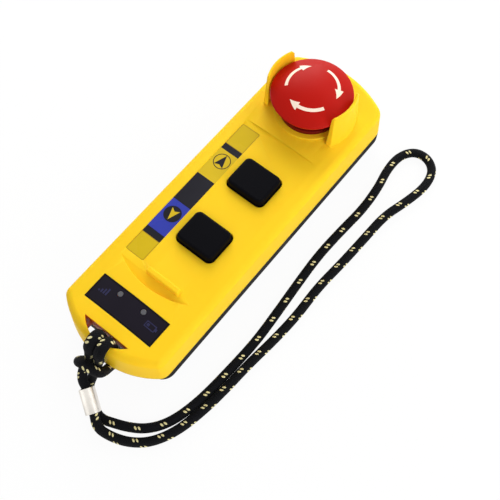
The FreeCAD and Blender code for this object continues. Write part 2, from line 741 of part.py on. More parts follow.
def keypad():
    """Both keys with their springs and switches, and the seals round their openings."""
    for label, y in (("up_button", up_button_y), ("down_button", down_button_y)):
        button(label, y)
        coil(
            label + "_spring", size.button_coil_radius, size.button_wire, size.button_coil_pitch,
            coil_seat - size.board_top, size.button_x, y, size.board_top,
        )
        switch = slab(
            label.replace("button", "switch"),
            [rectangle(size.button_x, y, size.switch_width, size.switch_width)],
            size.board_top, size.switch_height,
        )
        plunger = draw(switch, "XY_Plane", size.board_top, Disc(size.button_x, y, size.switch_plunger))
        pad(switch, plunger, size.switch_height + size.switch_rise)
        keep(switch)
    seal = slab("button_seal", [
        button_loop(ZERO, size.seal_reach, size.button_corner),
        button_loop(ZERO, size.button_gap, size.button_corner),
    ], ceiling - size.seal_thickness, size.seal_thickness)
    group("button_seals", seal, [(ZERO, y, ZERO) for y in (up_button_y, down_button_y)])


def films():
    """The colour strip beside the keys and the lamp film that follows the crown."""
    keep(slab("label_strip", [strip_loop(ZERO)], size.panel_height - size.film, size.film))
    body = new_body("led_label")
    half = size.led_label_width / 2
    foot, top = crown_height(half, size.film), crown_height(half)
    sheet_edge = [(-half, top), (-half, foot), (half, foot, size.film - crown_radius), (half, top)]
    sheet_edge[0] = (-half, top, crown_radius)
    pad(body, draw(body, "XZ_Plane", -led_label_y, sheet_edge), size.led_label_length, middle=True)
    windows = [Disc(side * size.led_x, led_y, size.lens_radius + size.lens_gap) for side in (-1, 1)]
    pocket(body, draw(body, "XY_Plane", crown_top, *windows))
    keep(body)


def lamps():
    """The two light guides through the top and the lamps under them."""
    lamp_top = size.board_top + size.led_height
    lens_foot, lens_top = lamp_top + size.running_gap, crown_top
    collar = ceiling - size.lens_flange_thickness
    radius = size.lens_radius
    lens = turned("lens", [
        (0, lens_foot), (radius, lens_foot), (radius, collar), (size.lens_flange, collar),
        (size.lens_flange, ceiling), (radius, ceiling), (radius, lens_top - radius / 4),
        (radius * 0.75, lens_top, radius / 4), (0, lens_top),
    ])
    places = [(side * size.led_x, led_y, ZERO) for side in (-1, 1)]
    group("led_lenses", lens, places)
    square = rectangle(ZERO, ZERO, size.led_width, size.led_width)
    lamp = slab("lamp", [square], size.board_top, size.led_height)
    group("status_leds", lamp, places)


def circuit_board():
    """The board with a tongue under the lamps, its radio can, controller and wire aerial."""
    wide, slim = size.board_width / 2, size.tongue_width / 2
    outline = [
        (-slim, board_tail_y), (slim, board_tail_y), (slim, board_step_y),
        (wide, board_step_y), (wide, board_head_y), (-wide, board_head_y),
        (-wide, board_step_y), (-slim, board_step_y),
    ]
    holes = [Disc(x, y, size.board_screw_radius + size.screw_gap) for x, y in board_screws]
    keep(slab("main_board", [outline] + holes, board_foot, size.board_thickness))
    radio = slab(
        "radio_module", [rectangle(size.radio_x, radio_y, size.radio_width, size.radio_length)],
        size.board_top, size.radio_height,
    )
    fillet(radio, radio.Tip, at_height(size.board_top + size.radio_height), size.led_height / 2)
    keep(radio)
    chip = [rectangle(size.chip_x, down_button_y, size.chip_width, size.chip_width)]
    keep(slab("controller_chip", chip, size.board_top, size.chip_height))
    keep(aerial())


def aerial():
    """A flat zigzag of square wire on the board."""
    body = new_body("aerial")
    reach, pitch, wire = size.aerial_reach, size.aerial_pitch, size.aerial_wire
    aerial_y = board_step_y + size.aerial_gap
    legs, rungs = [], 5
    for rung in range(rungs):
        x = (rung - (rungs - 1) / 2) * pitch
        legs.append(rectangle(x, aerial_y, wire, 2 * reach))
    for rung in range(rungs - 1):
        x = (rung - (rungs - 2) / 2) * pitch
        y = aerial_y + (reach - wire / 2) * (1 if rung % 2 == 0 else -1)
        legs.append(rectangle(x, y, pitch + wire, wire))
    for leg in legs:
        pad(body, draw(body, "XY_Plane", size.board_top, leg), wire)
    return body


def batteries():
    """Two cells side by side, head to tail, with a flat contact and a sprung leaf for each."""
    length, radius = size.cell_length, size.cell_radius
    cell = new_body("cell")
    profile = [
        (0, -length / 2), (radius, -length / 2), (radius, length / 2), (size.cell_nub_radius, length / 2),
        (size.cell_nub_radius, length / 2 + size.cell_nub), (0, length / 2 + size.cell_nub),
    ]
    sketch = draw(cell, "XY_Plane", ZERO, profile)
    feature = cell.newObject("PartDesign::Revolution", "turn")
    feature.Profile = sketch
    feature.ReferenceAxis = (sketch, ["V_Axis"])
    check(feature)
    side = size.cell_pitch / 2
    spots = [(-side, bay_y, size.cell_height), (side, bay_y, size.cell_height)]
    group("batteries", cell, spots, half_turns=[1])
    half_bay, thin = bay_length / 2, size.contact_thickness
    nub_end = length / 2 + size.cell_nub + size.film_gap
    plate = slab_across("contact_plate", size.contact_width, [
        (half_bay - thin, -radius / 2), (half_bay, -radius / 2), (half_bay, radius / 2),
        (half_bay - thin, radius / 2), (half_bay - thin, radius / 4), (nub_end, radius / 8),
        (nub_end, -radius / 8), (half_bay - thin, -radius / 4),
    ])
    group("battery_plates", plate, spots, half_turns=[1])
    tip = -length / 2 - size.film_gap
    leaf = slab_across("contact_leaf", size.leaf_width, [
        (-half_bay, -radius / 2), (thin - half_bay, -radius / 2), (thin - half_bay, radius / 4),
        (tip - thin, radius / 8), (tip - thin, -radius / 4), (tip, -radius / 4), (tip, radius / 4),
        (thin - half_bay, radius / 2), (-half_bay, radius / 2),
    ])
    group("battery_leaves", leaf, spots, half_turns=[1])


def slab_across(label, width, outline):
    """A bent strip, drawn from the side and padded evenly to both sides across the case."""
    body = new_body(label)
    pad(body, draw(body, "YZ_Plane", ZERO, outline), width, middle=True)
    return body


def battery_door():
    """The sliding door: a stepped plate whose upper edges run in the rails, with finger grooves."""
    body = new_body("battery_door")
    half, lap = size.door_width / 2, rail_top - size.door_lap
    length = door_head_y - door_tail_y
    middle = (door_head_y + door_tail_y) / 2
    plate = rectangle(ZERO, middle, 2 * half, length)
    pad(body, draw(body, "XY_Plane", size.door_recess, plate), size.door_thickness)
    tongue = rectangle(ZERO, middle, 2 * (half + size.door_tongue), length)
    pad(body, draw(body, "XY_Plane", lap, tongue), size.door_lap)
    grooves, count = [], 6
    for index in range(count):
        y = door_tail_y + (index + 2) * size.grip_pitch
        grooves.append(rectangle(ZERO, y, size.grip_length, size.grip_width))
    pocket(body, draw(body, "XY_Plane", size.door_recess, *grooves), size.grip_depth, up=True)
    return keep(body)


def emergency_stop():
    """The mushroom head on its stem, in a threaded bush with seal, nut, spring and contact block."""
    radius, ring, edge = size.stop_diameter / 2, size.stop_ring_height, size.stop_edge
    bend, inner, lip = size.stop_dome_radius, radius - edge, radius - size.stop_undercut
    reach = ((bend - edge) * (bend - edge) - inner * inner).root()
    stretch = bend / (bend - edge)
    dome_centre = ring - reach
    roof, neck, bore = rim_foot + size.stop_hollow, size.neck_radius, size.stem_radius + size.stem_gap
    bore_top = ring - edge
    y = stop_y
    keep(turned("estop_head", [
        (bore, neck_foot), (neck, neck_foot), (neck, roof), (radius - size.stop_skirt, roof),
        (radius - size.stop_skirt, rim_foot), (lip - edge / 2, rim_foot),
        (lip, rim_foot + edge / 2, edge / 2), (radius, ring),
        (inner * stretch, dome_centre + reach * stretch, edge), (0, dome_centre + bend, bend),
        (0, bore_top), (bore, bore_top),
    ], y=y))
    collar_top = size.bush_foot - size.running_gap
    collar_foot = collar_top - size.stem_collar_height
    keep(turned("estop_stem", [
        (0, collar_foot - size.stem_tail), (size.stem_tail, collar_foot - size.stem_tail),
        (size.stem_tail, collar_foot), (size.stem_collar, collar_foot), (size.stem_collar, collar_top),
        (size.stem_radius, collar_top), (size.stem_radius, bore_top - size.running_gap),
        (0, bore_top - size.running_gap),
    ], y=y))
    flange_low = size.seat_height + size.stop_seal
    bush_floor = size.bush_foot + size.bush_floor
    hole = size.stem_radius + size.running_gap
    keep(turned("estop_bush", [
        (hole, size.bush_foot), (size.bush_radius, size.bush_foot), (size.bush_radius, flange_low),
        (size.bush_flange, flange_low), (size.bush_flange, bush_top - edge / 2),
        (size.bush_flange - edge / 2, bush_top, edge / 2), (size.bush_bore, bush_top),
        (size.bush_bore, bush_floor), (hole, bush_floor),
    ], y=y))
    ring_inner = size.bush_radius + size.thread_gap
    keep(slab("estop_seal", [Disc(ZERO, y, size.bush_flange - edge / 2), Disc(ZERO, y, ring_inner)],
              size.seat_height, size.stop_seal))
    keep(slab("estop_nut", [hexagon(y, size.nut_flats), Disc(ZERO, y, ring_inner)],
              ceiling - size.nut_thickness, size.nut_thickness))
    coil("estop_spring", size.stop_coil_radius, size.stop_wire, size.stop_pitch,
         neck_foot - bush_floor, ZERO, y, bush_floor)
    contact_block(y)


def hexagon(y, flats):
    corner = flats / (2 * cosine(Size.of(30)))
    half = flats / 2
    return [
        (half, y - corner / 2), (half, y + corner / 2), (0, y + corner),
        (-half, y + corner / 2), (-half, y - corner / 2), (0, y - corner),
    ]


def contact_block(y):
    """The switch block under the bush, stepped for two screw terminals, and the terminal screws."""
    body = new_body("estop_contact_block")
    foot = size.bush_foot - size.block_height
    block = rectangle(ZERO, y, size.block_width, size.block_length, size.button_corner)
    pad(body, draw(body, "XY_Plane", foot, block), size.block_height)
    step_y = size.block_length / 2 - size.terminal_width
    for side in (-1, 1):
        middle = y + side * (step_y + size.terminal_width)
        step = rectangle(ZERO, middle, size.block_width, 2 * size.terminal_width)
        pocket(body, draw(body, "XY_Plane", size.bush_foot, step), size.terminal_step)
    cavity = Disc(ZERO, y, size.block_cavity)
    pocket(body, draw(body, "XY_Plane", size.bush_foot, cavity), size.block_cavity_depth)
    keep(body)
    head = size.terminal_radius
    screw = turned("terminal_screw", [(0, 0), (head * 0.8, 0), (head * 0.8, head / 2), (0, head / 2)])
    level = size.bush_foot - size.terminal_step
    places = [
        (across * size.block_width / 4, y + along * (step_y + size.terminal_width / 2), level)
        for across in (-1, 1) for along in (-1, 1)
    ]
    group("terminal_screws", screw, places)


# The lanyard's route: out of the crimp, round the hand loop, back through the crimp, up over the end wall,
# down through the slot, under the wall, across both legs, and back the same way into the crimp.
HAND_LOOP = [
    (16.6, -111.4, 2.9), (20.8, -109.8, 2.5), (27.4, -107, 2.25), (34.4, -102.6, 2.25), (39.9, -95.6, 2.25),
    (43.3, -86.4, 2.25), (45.2, -74.2, 2.25), (46.3, -58, 2.25), (47.2, -40, 2.25), (46.4, -22, 2.25),
    (45, -4, 2.25), (43.9, 14, 2.25), (44.7, 32, 2.25), (46, 48, 2.25), (45, 63, 2.25), (42.5, 75, 2.25),
    (42.8, 85.5, 2.25), (47.6, 92.6, 2.25), (55.2, 93.4, 2.25), (61.6, 88.6, 2.25), (63.4, 78.2, 2.25),
    (60.3, 64, 2.25), (56.7, 52, 2.25), (56.1, 36, 2.25), (55.3, 18, 2.25), (53.8, 0, 2.25),
    (54.6, -17, 2.25), (53.6, -34, 2.25), (52, -51, 2.25), (51, -67, 2.25), (48.9, -82, 2.25),
    (45.8, -95.2, 2.25), (40.3, -105.4, 2.25), (33, -111.5, 2.35), (24.8, -114.8, 3.1), (18, -115.8, 5.9),
]
HITCH = [
    (0.9, -105, 14.5), (-1.2, -101.4, 17.6), (-0.7, -96.8, 21.8), (-0.4, -95, 28.3), (-0.5, -94.8, 35.4),
    (-0.9, -86.65, 35.4), (-0.9, -86.7, 27), (-1.4, -86.7, 18.8), (-2.6, -87, 9.6), (-4.4, -95.2, 9.8),
    (-5.9, -97.8, 17.8), (-4.8, -100, 25), (-0.4, -100.1, 28), (4.2, -99.9, 27.6), (8.2, -99.2, 22.8),
    (8.9, -97.4, 15.6), (8, -94.9, 9.8), (5.6, -87, 9.6), (4.6, -86.7, 18.8), (4.5, -86.7, 27),
    (4.5, -86.65, 35.4), (5.4, -94.7, 35.4), (5, -94.9, 28.3), (3.7, -95.6, 21.6), (3.4, -98.2, 15),
    (3.1, -102, 9.8),
]


def crimp_frame():
    return Placement(
        Vector(*(sheet.get(name) for name in ("crimp_x", "crimp_y", "crimp_z"))),
        Rotation(CRIMP_YAW, CRIMP_PITCH, CRIMP_ROLL),
    )


def lanyard_route():
    """The corners of the cord's path, from inside the crimp and back to it."""
    frame = crimp_frame()
    reach = sheet.get("crimp_length") / 2
    lift = (sheet.get("cord_diameter") + sheet.get("strand_gap")) / 2
    gap = sheet.get("strand_gap")

    def strand(along, up):
        return frame.multVec(Vector(along, 0, up))

    middle = strand(gap, -lift)
    loop = [Vector(*point) for point in HAND_LOOP]
    hitch = [Vector(*point) for point in HITCH]
    route = [middle, strand(reach, -lift)] + loop
    route += [strand(reach, lift), strand(-reach, lift)] + hitch
    return route + [strand(-reach, -lift), strand(-gap, -lift)]


def cord_edges(route):
    """Straight runs joined by tangent arcs, each as large as its two runs allow, and the arcs' radii."""
    edges, radii, last = [], [], route[0]
    for before, corner, after in zip(route, route[1:], route[2:]):
        back, onward = (before - corner), (after - corner)
        room = 0.45 * min(back.Length, onward.Length)
        start = corner + back.normalize() * room
        end = corner + onward.normalize() * room
        turn = math.pi - back.getAngle(onward)
        radius = room / math.tan(turn / 2)
        bisector = (back + onward).normalize()
        middle = corner + bisector * (math.hypot(radius, room) - radius)
        edges.append(Part.LineSegment(last, start).toShape())
        edges.append(Part.Arc(start, middle, end).toShape())
        radii.append(radius)
        last = end
    edges.append(Part.LineSegment(last, route[-1]).toShape())
    return edges, radii


def lanyard():
    """The braided cord, as a plain tube along its route, and the flat sleeve that clamps it."""
    route = lanyard_route()
    edges, radii = cord_edges(route)
    path = doc.addObject("Part::Feature", "lanyard_path")
    path.Shape = Part.Wire(edges)
    section = doc.addObject("Part::Circle", "lanyard_section")
    bind(section, "Radius", size.cord_diameter / 2)
    section.Placement = Placement(route[0], Rotation(Vector(0, 0, 1), route[1] - route[0]))
    cord = doc.addObject("Part::Sweep", "lanyard_cord")
    cord.Sections = [section]
    cord.Spine = (path, [f"Edge{index}" for index in range(1, len(edges) + 1)])
    cord.Solid = True
    cord.Frenet = False
    keep(check_sweep(cord, path.Shape.Length))
    print("cord radii", " ".join(f"{radius:.1f}" for radius in radii))
    lanyard_crimp()


def check_sweep(cord, length):
    doc.recompute()
    expected = math.pi * (sheet.get("cord_diameter") / 2) ** 2 * length
    print(f"cord length {length:.1f}, volume {cord.Shape.Volume:.1f}, section times length {expected:.1f}")
    return cord


def lanyard_crimp():
    """A flat sleeve whose bore takes the two strands, one over the other."""
    body = new_body("lanyard_crimp")
    bore = size.cord_diameter + 2 * size.crimp_gap
    tall = bore + size.cord_diameter + size.strand_gap
    thick, high = bore + 2 * size.crimp_wall, tall + 2 * size.crimp_wall
    outer = rectangle(ZERO, ZERO, thick, high, thick / 2 - size.crimp_wall)
    inner = rectangle(ZERO, ZERO, bore, tall, bore / 2 - size.crimp_wall)
    pad(body, draw(body, "YZ_Plane", ZERO, outer, inner), size.crimp_length, middle=True)
    body.Placement = crimp_frame()
    return keep(body)


def main():
    upper_housing()
    lower_housing()
    housing_gasket()
    fasteners()
    keypad()
    films()
    lamps()
    circuit_board()
    batteries()
    battery_door()
    emergency_stop()
    lanyard()
    doc.recompute()
    for item in doc.Objects:
        if "Invalid" in item.State or "Error" in item.State:
            raise RuntimeError(f"{item.Label}: {item.State}")
    os.makedirs("parts", exist_ok=True)
    for name, item in nodes.items():
        if item.Shape.isNull() or not item.Shape.isValid():
            raise RuntimeError(f"{name} has no valid shape")
    for name, item in nodes.items():
        item.Shape.exportStep(f"parts/{name}.step")
        print(f"{name}: {len(item.Shape.Solids)} solid(s), {item.Shape.Volume:.0f} mm3")


main()
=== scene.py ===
"""Dresses a crane's hand-held radio transmitter: moulded case, films, stop button and lanyard."""
import logging
import math
from dataclasses import dataclass, field
from enum import Enum
from functools import cache

import bmesh
import bpy
from mathutils import Matrix, Vector


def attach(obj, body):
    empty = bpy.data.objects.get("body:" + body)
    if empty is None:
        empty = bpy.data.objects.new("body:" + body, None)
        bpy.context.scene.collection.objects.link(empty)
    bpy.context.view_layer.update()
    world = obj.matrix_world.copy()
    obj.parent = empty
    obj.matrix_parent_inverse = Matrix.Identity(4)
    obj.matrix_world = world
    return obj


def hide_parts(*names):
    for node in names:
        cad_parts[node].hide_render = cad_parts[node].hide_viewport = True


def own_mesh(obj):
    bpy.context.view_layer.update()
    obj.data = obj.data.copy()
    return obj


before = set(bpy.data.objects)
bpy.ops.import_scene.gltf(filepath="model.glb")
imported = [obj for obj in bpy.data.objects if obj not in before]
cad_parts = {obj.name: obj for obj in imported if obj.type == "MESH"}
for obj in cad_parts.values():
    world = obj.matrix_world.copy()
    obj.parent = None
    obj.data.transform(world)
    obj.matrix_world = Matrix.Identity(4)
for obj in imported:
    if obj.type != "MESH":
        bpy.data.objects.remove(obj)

MM = 0.001
FULL_TURN = 2 * math.pi
LOG = logging.getLogger("transmitter")

Spot = tuple[float, float]
Point = tuple[float, float, float]
Box = tuple[float, float, float, float]
Colour = tuple[float, float, float, float]
Shape = bmesh.types.BMesh
Mesh = bpy.types.Mesh
Piece = bpy.types.Object
Node = bpy.types.Node
Socket = bpy.types.NodeSocket

WHITE: Colour = (1.0, 1.0, 1.0, 1.0)

# Points closer than these are merged, in a turned shape and in a copy of a CAD node.
TURNED_WELD = 1e-7
CAD_WELD = 1e-6

# The Mix node's sockets for colours.
MIX_FACTOR, MIX_FIRST, MIX_SECOND, MIX_RESULT = 0, 6, 7, 2

# The part of each noise that the two shared effects spread over 0 to 1.
TONE_RANGE = (0.3, 0.7)
RUB_RANGE = (0.45, 0.75)
SCRATCH_RANGE = (0.68, 0.78)
SCUFF_TURN = (0.0, 0.0, 0.7)
SCUFF_STRETCH = (1.0, 0.03, 1.0)


class Body(Enum):
    """The bodies that dressed pieces ride on."""

    HOUSING = "housing"
    CAP = "estop_cap"
    UP_KEY = "up_key"
    DOWN_KEY = "down_key"


def srgb(red: float, green: float, blue: float) -> Colour:
    """Turns a colour as it is seen, in 0 to 255, into the linear one that shaders take.

    Args:
        red: Red, 0 to 255.
        green: Green, 0 to 255.
        blue: Blue, 0 to 255.

    Returns:
        The linear colour with full alpha.
    """
    def linear(channel: float) -> float:
        """Turns one channel linear."""
        part = channel / 255
        return part / 12.92 if part <= 0.04045 else ((part + 0.055) / 1.055) ** 2.4

    return linear(red), linear(green), linear(blue), 1.0


def dimmed(colour: Colour, share: float) -> Colour:
    """Darkens a colour to a share of its light."""
    return colour[0] * share, colour[1] * share, colour[2] * share, 1.0


class NodeBench:
    """Places and joins the nodes of one tree."""

    def __init__(self, tree: bpy.types.NodeTree) -> None:
        """Keeps the tree that the nodes go into."""
        self.tree = tree

    def add(self, kind: str, inputs: dict | None = None, **settings: object) -> Node:
        """Adds a node.

        Args:
            kind: The node's type name.
            inputs: Values or sockets for its inputs, by name or number.
            **settings: The node's own properties.

        Returns:
            The new node.
        """
        node = self.tree.nodes.new(kind)
        for name, value in settings.items():
            setattr(node, name, value)
        self.fill(node, inputs or {})
        return node

    def fill(self, node: Node, inputs: dict) -> None:
        """Links sockets into a node's inputs, and sets other inputs to plain values.

        Args:
            node: The node.
            inputs: Values or sockets for its inputs, by name or number.
        """
        for name, value in inputs.items():
            if isinstance(value, Socket):
                self.tree.links.new(value, node.inputs[name])
            else:
                node.inputs[name].default_value = value

    def math(self, operation: str, *values: object) -> Socket:
        """Adds a Math node and returns its result."""
        return self.add("ShaderNodeMath", dict(enumerate(values)), operation=operation).outputs[0]

    def ramp(self, value: Socket, low: float, high: float) -> Socket:
        """Maps low..high of a value smoothly to 0..1."""
        inputs = {"Value": value, "From Min": low, "From Max": high}
        return self.add("ShaderNodeMapRange", inputs, interpolation_type="SMOOTHSTEP").outputs["Result"]

    def blend(self, factor: object, first: object, second: object) -> Socket:
        """Mixes two colours by a factor."""
        inputs = {MIX_FACTOR: factor, MIX_FIRST: first, MIX_SECOND: second}
        return self.add("ShaderNodeMix", inputs, data_type="RGBA").outputs[MIX_RESULT]

    def object_place(self) -> Socket:
        """Adds the object's own coordinates."""
        return self.add("ShaderNodeTexCoord").outputs["Object"]

    def noise(self, place: Socket, scale: object, detail: float = 2.0) -> Socket:
        """Adds a noise texture and returns its value."""
        inputs = {"Vector": place, "Scale": scale, "Detail": detail}
        return self.add("ShaderNodeTexNoise", inputs).outputs["Fac"]

    def group(self, tree: bpy.types.NodeTree, **inputs: float) -> bpy.types.NodeOutputs:
        """Places a shared node group and returns its outputs."""
        return self.add("ShaderNodeGroup", inputs, node_tree=tree).outputs

    def bump(self, height: Socket, depth: float) -> Node:
        """Adds a Bump node."""
        return self.add("ShaderNodeBump", {"Height": height, "Distance": depth})


def new_group(name: str, inputs: dict[str, float], outputs: list[str]) -> tuple[NodeBench, object, Node]:
    """Starts a shader node group with float inputs and outputs.

    Args:
        name: The group's name.
        inputs: Input names and their defaults.
        outputs: Output names.

    Returns:
        The bench of the group's tree, the sockets that it is given and its output node.
    """
    tree = bpy.data.node_groups.new(name, "ShaderNodeTree")
    for label, default in inputs.items():
        socket = tree.interface.new_socket(label, in_out="INPUT", socket_type="NodeSocketFloat")
        socket.default_value = default
    for label in outputs:
        tree.interface.new_socket(label, in_out="OUTPUT", socket_type="NodeSocketFloat")
    bench = NodeBench(tree)
    return bench, bench.add("NodeGroupInput").outputs, bench.add("NodeGroupOutput")


def build_moulding_grain() -> bpy.types.NodeTree:
    """Builds the spark-eroded grain of moulded plastic: a fine height and a slow tone.

    Returns:
        The node group.
    """
    bench, given, result = new_group("moulding_grain", {"Grain": 2600.0, "Flow": 28.0}, ["Height", "Tone"])
    place = bench.object_place()
    slow = bench.noise(place, given["Flow"], detail=3.0)
    bench.fill(result, {"Height": bench.noise(place, given["Grain"]), "Tone": bench.ramp(slow, *TONE_RANGE)})
    return bench.tree


def build_handling_marks() -> bpy.types.NodeTree:
    """Builds the faint rubbed patches and hairline scuffs that handling leaves.

    Returns:
        The node group.
    """
    bench, given, result = new_group("handling_marks", {"Patch": 60.0, "Scuff": 900.0}, ["Rub", "Scratch"])
    place = bench.object_place()
    patch = bench.noise(place, given["Patch"], detail=5.0)
    mapping = {"Vector": place, "Rotation": SCUFF_TURN, "Scale": SCUFF_STRETCH}
    stretched = bench.add("ShaderNodeMapping", mapping).outputs[0]
    line = bench.noise(stretched, given["Scuff"], detail=1.0)
    bench.fill(result, {"Rub": bench.ramp(patch, *RUB_RANGE), "Scratch": bench.ramp(line, *SCRATCH_RANGE)})
    return bench.tree


GRAIN = build_moulding_grain()
MARKS = build_handling_marks()


def new_material(name: str) -> tuple[bpy.types.Material, NodeBench, Node]:
    """Starts a material.

    Args:
        name: The material's name.

    Returns:
        The material, the bench of its tree and its Principled shader.
    """
    material = bpy.data.materials.new(name)
    material.use_nodes = True
    bench = NodeBench(material.node_tree)
    return material, bench, material.node_tree.nodes["Principled BSDF"]


@dataclass(frozen=True)
class Finish:
    """A finish, whose material is built the first time that it is asked for."""

    name: str
    colour: Colour

    def material(self) -> bpy.types.Material:
        """Builds the material once.

        Returns:
            The material.
        """
        known = bpy.data.materials.get(self.name)
        if known:
            return known
        material, bench, shader = new_material(self.name)
        self.shade(bench, shader)
        return material

    def shade(self, bench: NodeBench, shader: Node) -> None:
        """Joins this finish's nodes to the material's shader."""
        raise NotImplementedError


@dataclass(frozen=True)
class Moulding(Finish):
    """A moulded plastic or rubber with grain, slow colour flow and a little handling."""

    deep: Colour
    roughness: float = 0.42
    spread: float = 0.08
    grain: float = 2600.0
    depth: float = 0.00002
    specular: float = 0.4
    translucence: float = 0.0
    edge: float = 0.0
    edge_samples: int = 8
    flow_share: float = 0.35
    scatter: Point = (1.0, 0.34, 0.1)
    scatter_reach: float = 0.006

    def shade(self, bench: NodeBench, shader: Node) -> None:
        """Joins grain, colour flow, handling and broken edges to the shader.

        Args:
            bench: The bench of the material's tree.
            shader: Its Principled shader.
        """
        grain = bench.group(GRAIN, Grain=self.grain)
        marks = bench.group(MARKS)
        tone = bench.math("MULTIPLY", grain["Tone"], self.flow_share)
        rubbed = bench.math("MULTIPLY_ADD", marks["Rub"], -self.spread, self.roughness)
        bump = bench.bump(grain["Height"], self.depth)
        if self.edge:
            broken = bench.add("ShaderNodeBevel", {"Radius": self.edge}, samples=self.edge_samples)
            bench.fill(bump, {"Normal": broken.outputs[0]})
        bench.fill(shader, {
            "Base Color": bench.blend(tone, self.colour, self.deep),
            "Roughness": bench.math("MULTIPLY_ADD", marks["Scratch"], self.spread, rubbed),
            "Normal": bump.outputs[0],
            "Specular IOR Level": self.specular,
            "Subsurface Weight": self.translucence,
            "Subsurface Radius": self.scatter,
            "Subsurface Scale": self.scatter_reach,
        })


@dataclass(frozen=True)
class Metal(Finish):
    """A bare or plated metal with drawn streaks."""

    roughness: float = 0.32
    streak: float = 700.0
    stretch: Point = (1.0, 1.0, 0.08)
    streak_dulling: float = 0.2
    streak_depth: float = 0.00001
    dull_share: float = 0.72

    def shade(self, bench: NodeBench, shader: Node) -> None:
        """Joins streaks and rubbed patches to the shader.

        Args:
            bench: The bench of the material's tree.
            shader: Its Principled shader.
        """
        mapping = {"Vector": bench.object_place(), "Scale": self.stretch}
        drawn = bench.add("ShaderNodeMapping", mapping).outputs[0]
        streak = bench.noise(drawn, self.streak)
        rub = bench.group(MARKS)["Rub"]
        bench.fill(shader, {
            "Base Color": bench.blend(rub, self.colour, dimmed(self.colour, self.dull_share)),
            "Roughness": bench.math("MULTIPLY_ADD", streak, self.streak_dulling, self.roughness),
            "Normal": bench.bump(streak, self.streak_depth).outputs[0],
            "Metallic": 1.0,
        })


@dataclass(frozen=True)
class Ink(Finish):
    """A printed or tampo-printed colour with a slightly uneven lay."""

    roughness: float = 0.3
    specular: float = 0.13
    mottle: float = 0.12
    mottle_flow: float = 160.0
    thin_share: float = 0.8
    wear: float = 0.1
    depth: float = 0.000006

    def shade(self, bench: NodeBench, shader: Node) -> None:
        """Joins the mottled colour, wear and a faint grain to the shader.

        Args:
            bench: The bench of the material's tree.
            shader: Its Principled shader.
        """
        grain = bench.group(GRAIN, Flow=self.mottle_flow)
        tone = bench.math("MULTIPLY", grain["Tone"], self.mottle)
        rub = bench.group(MARKS)["Rub"]
        bench.fill(shader, {
            "Base Color": bench.blend(tone, self.colour, dimmed(self.colour, self.thin_share)),
            "Roughness": bench.math("MULTIPLY_ADD", rub, self.wear, self.roughness),
            "Normal": bench.bump(grain["Height"], self.depth).outputs[0],
            "Specular IOR Level": self.specular,
        })


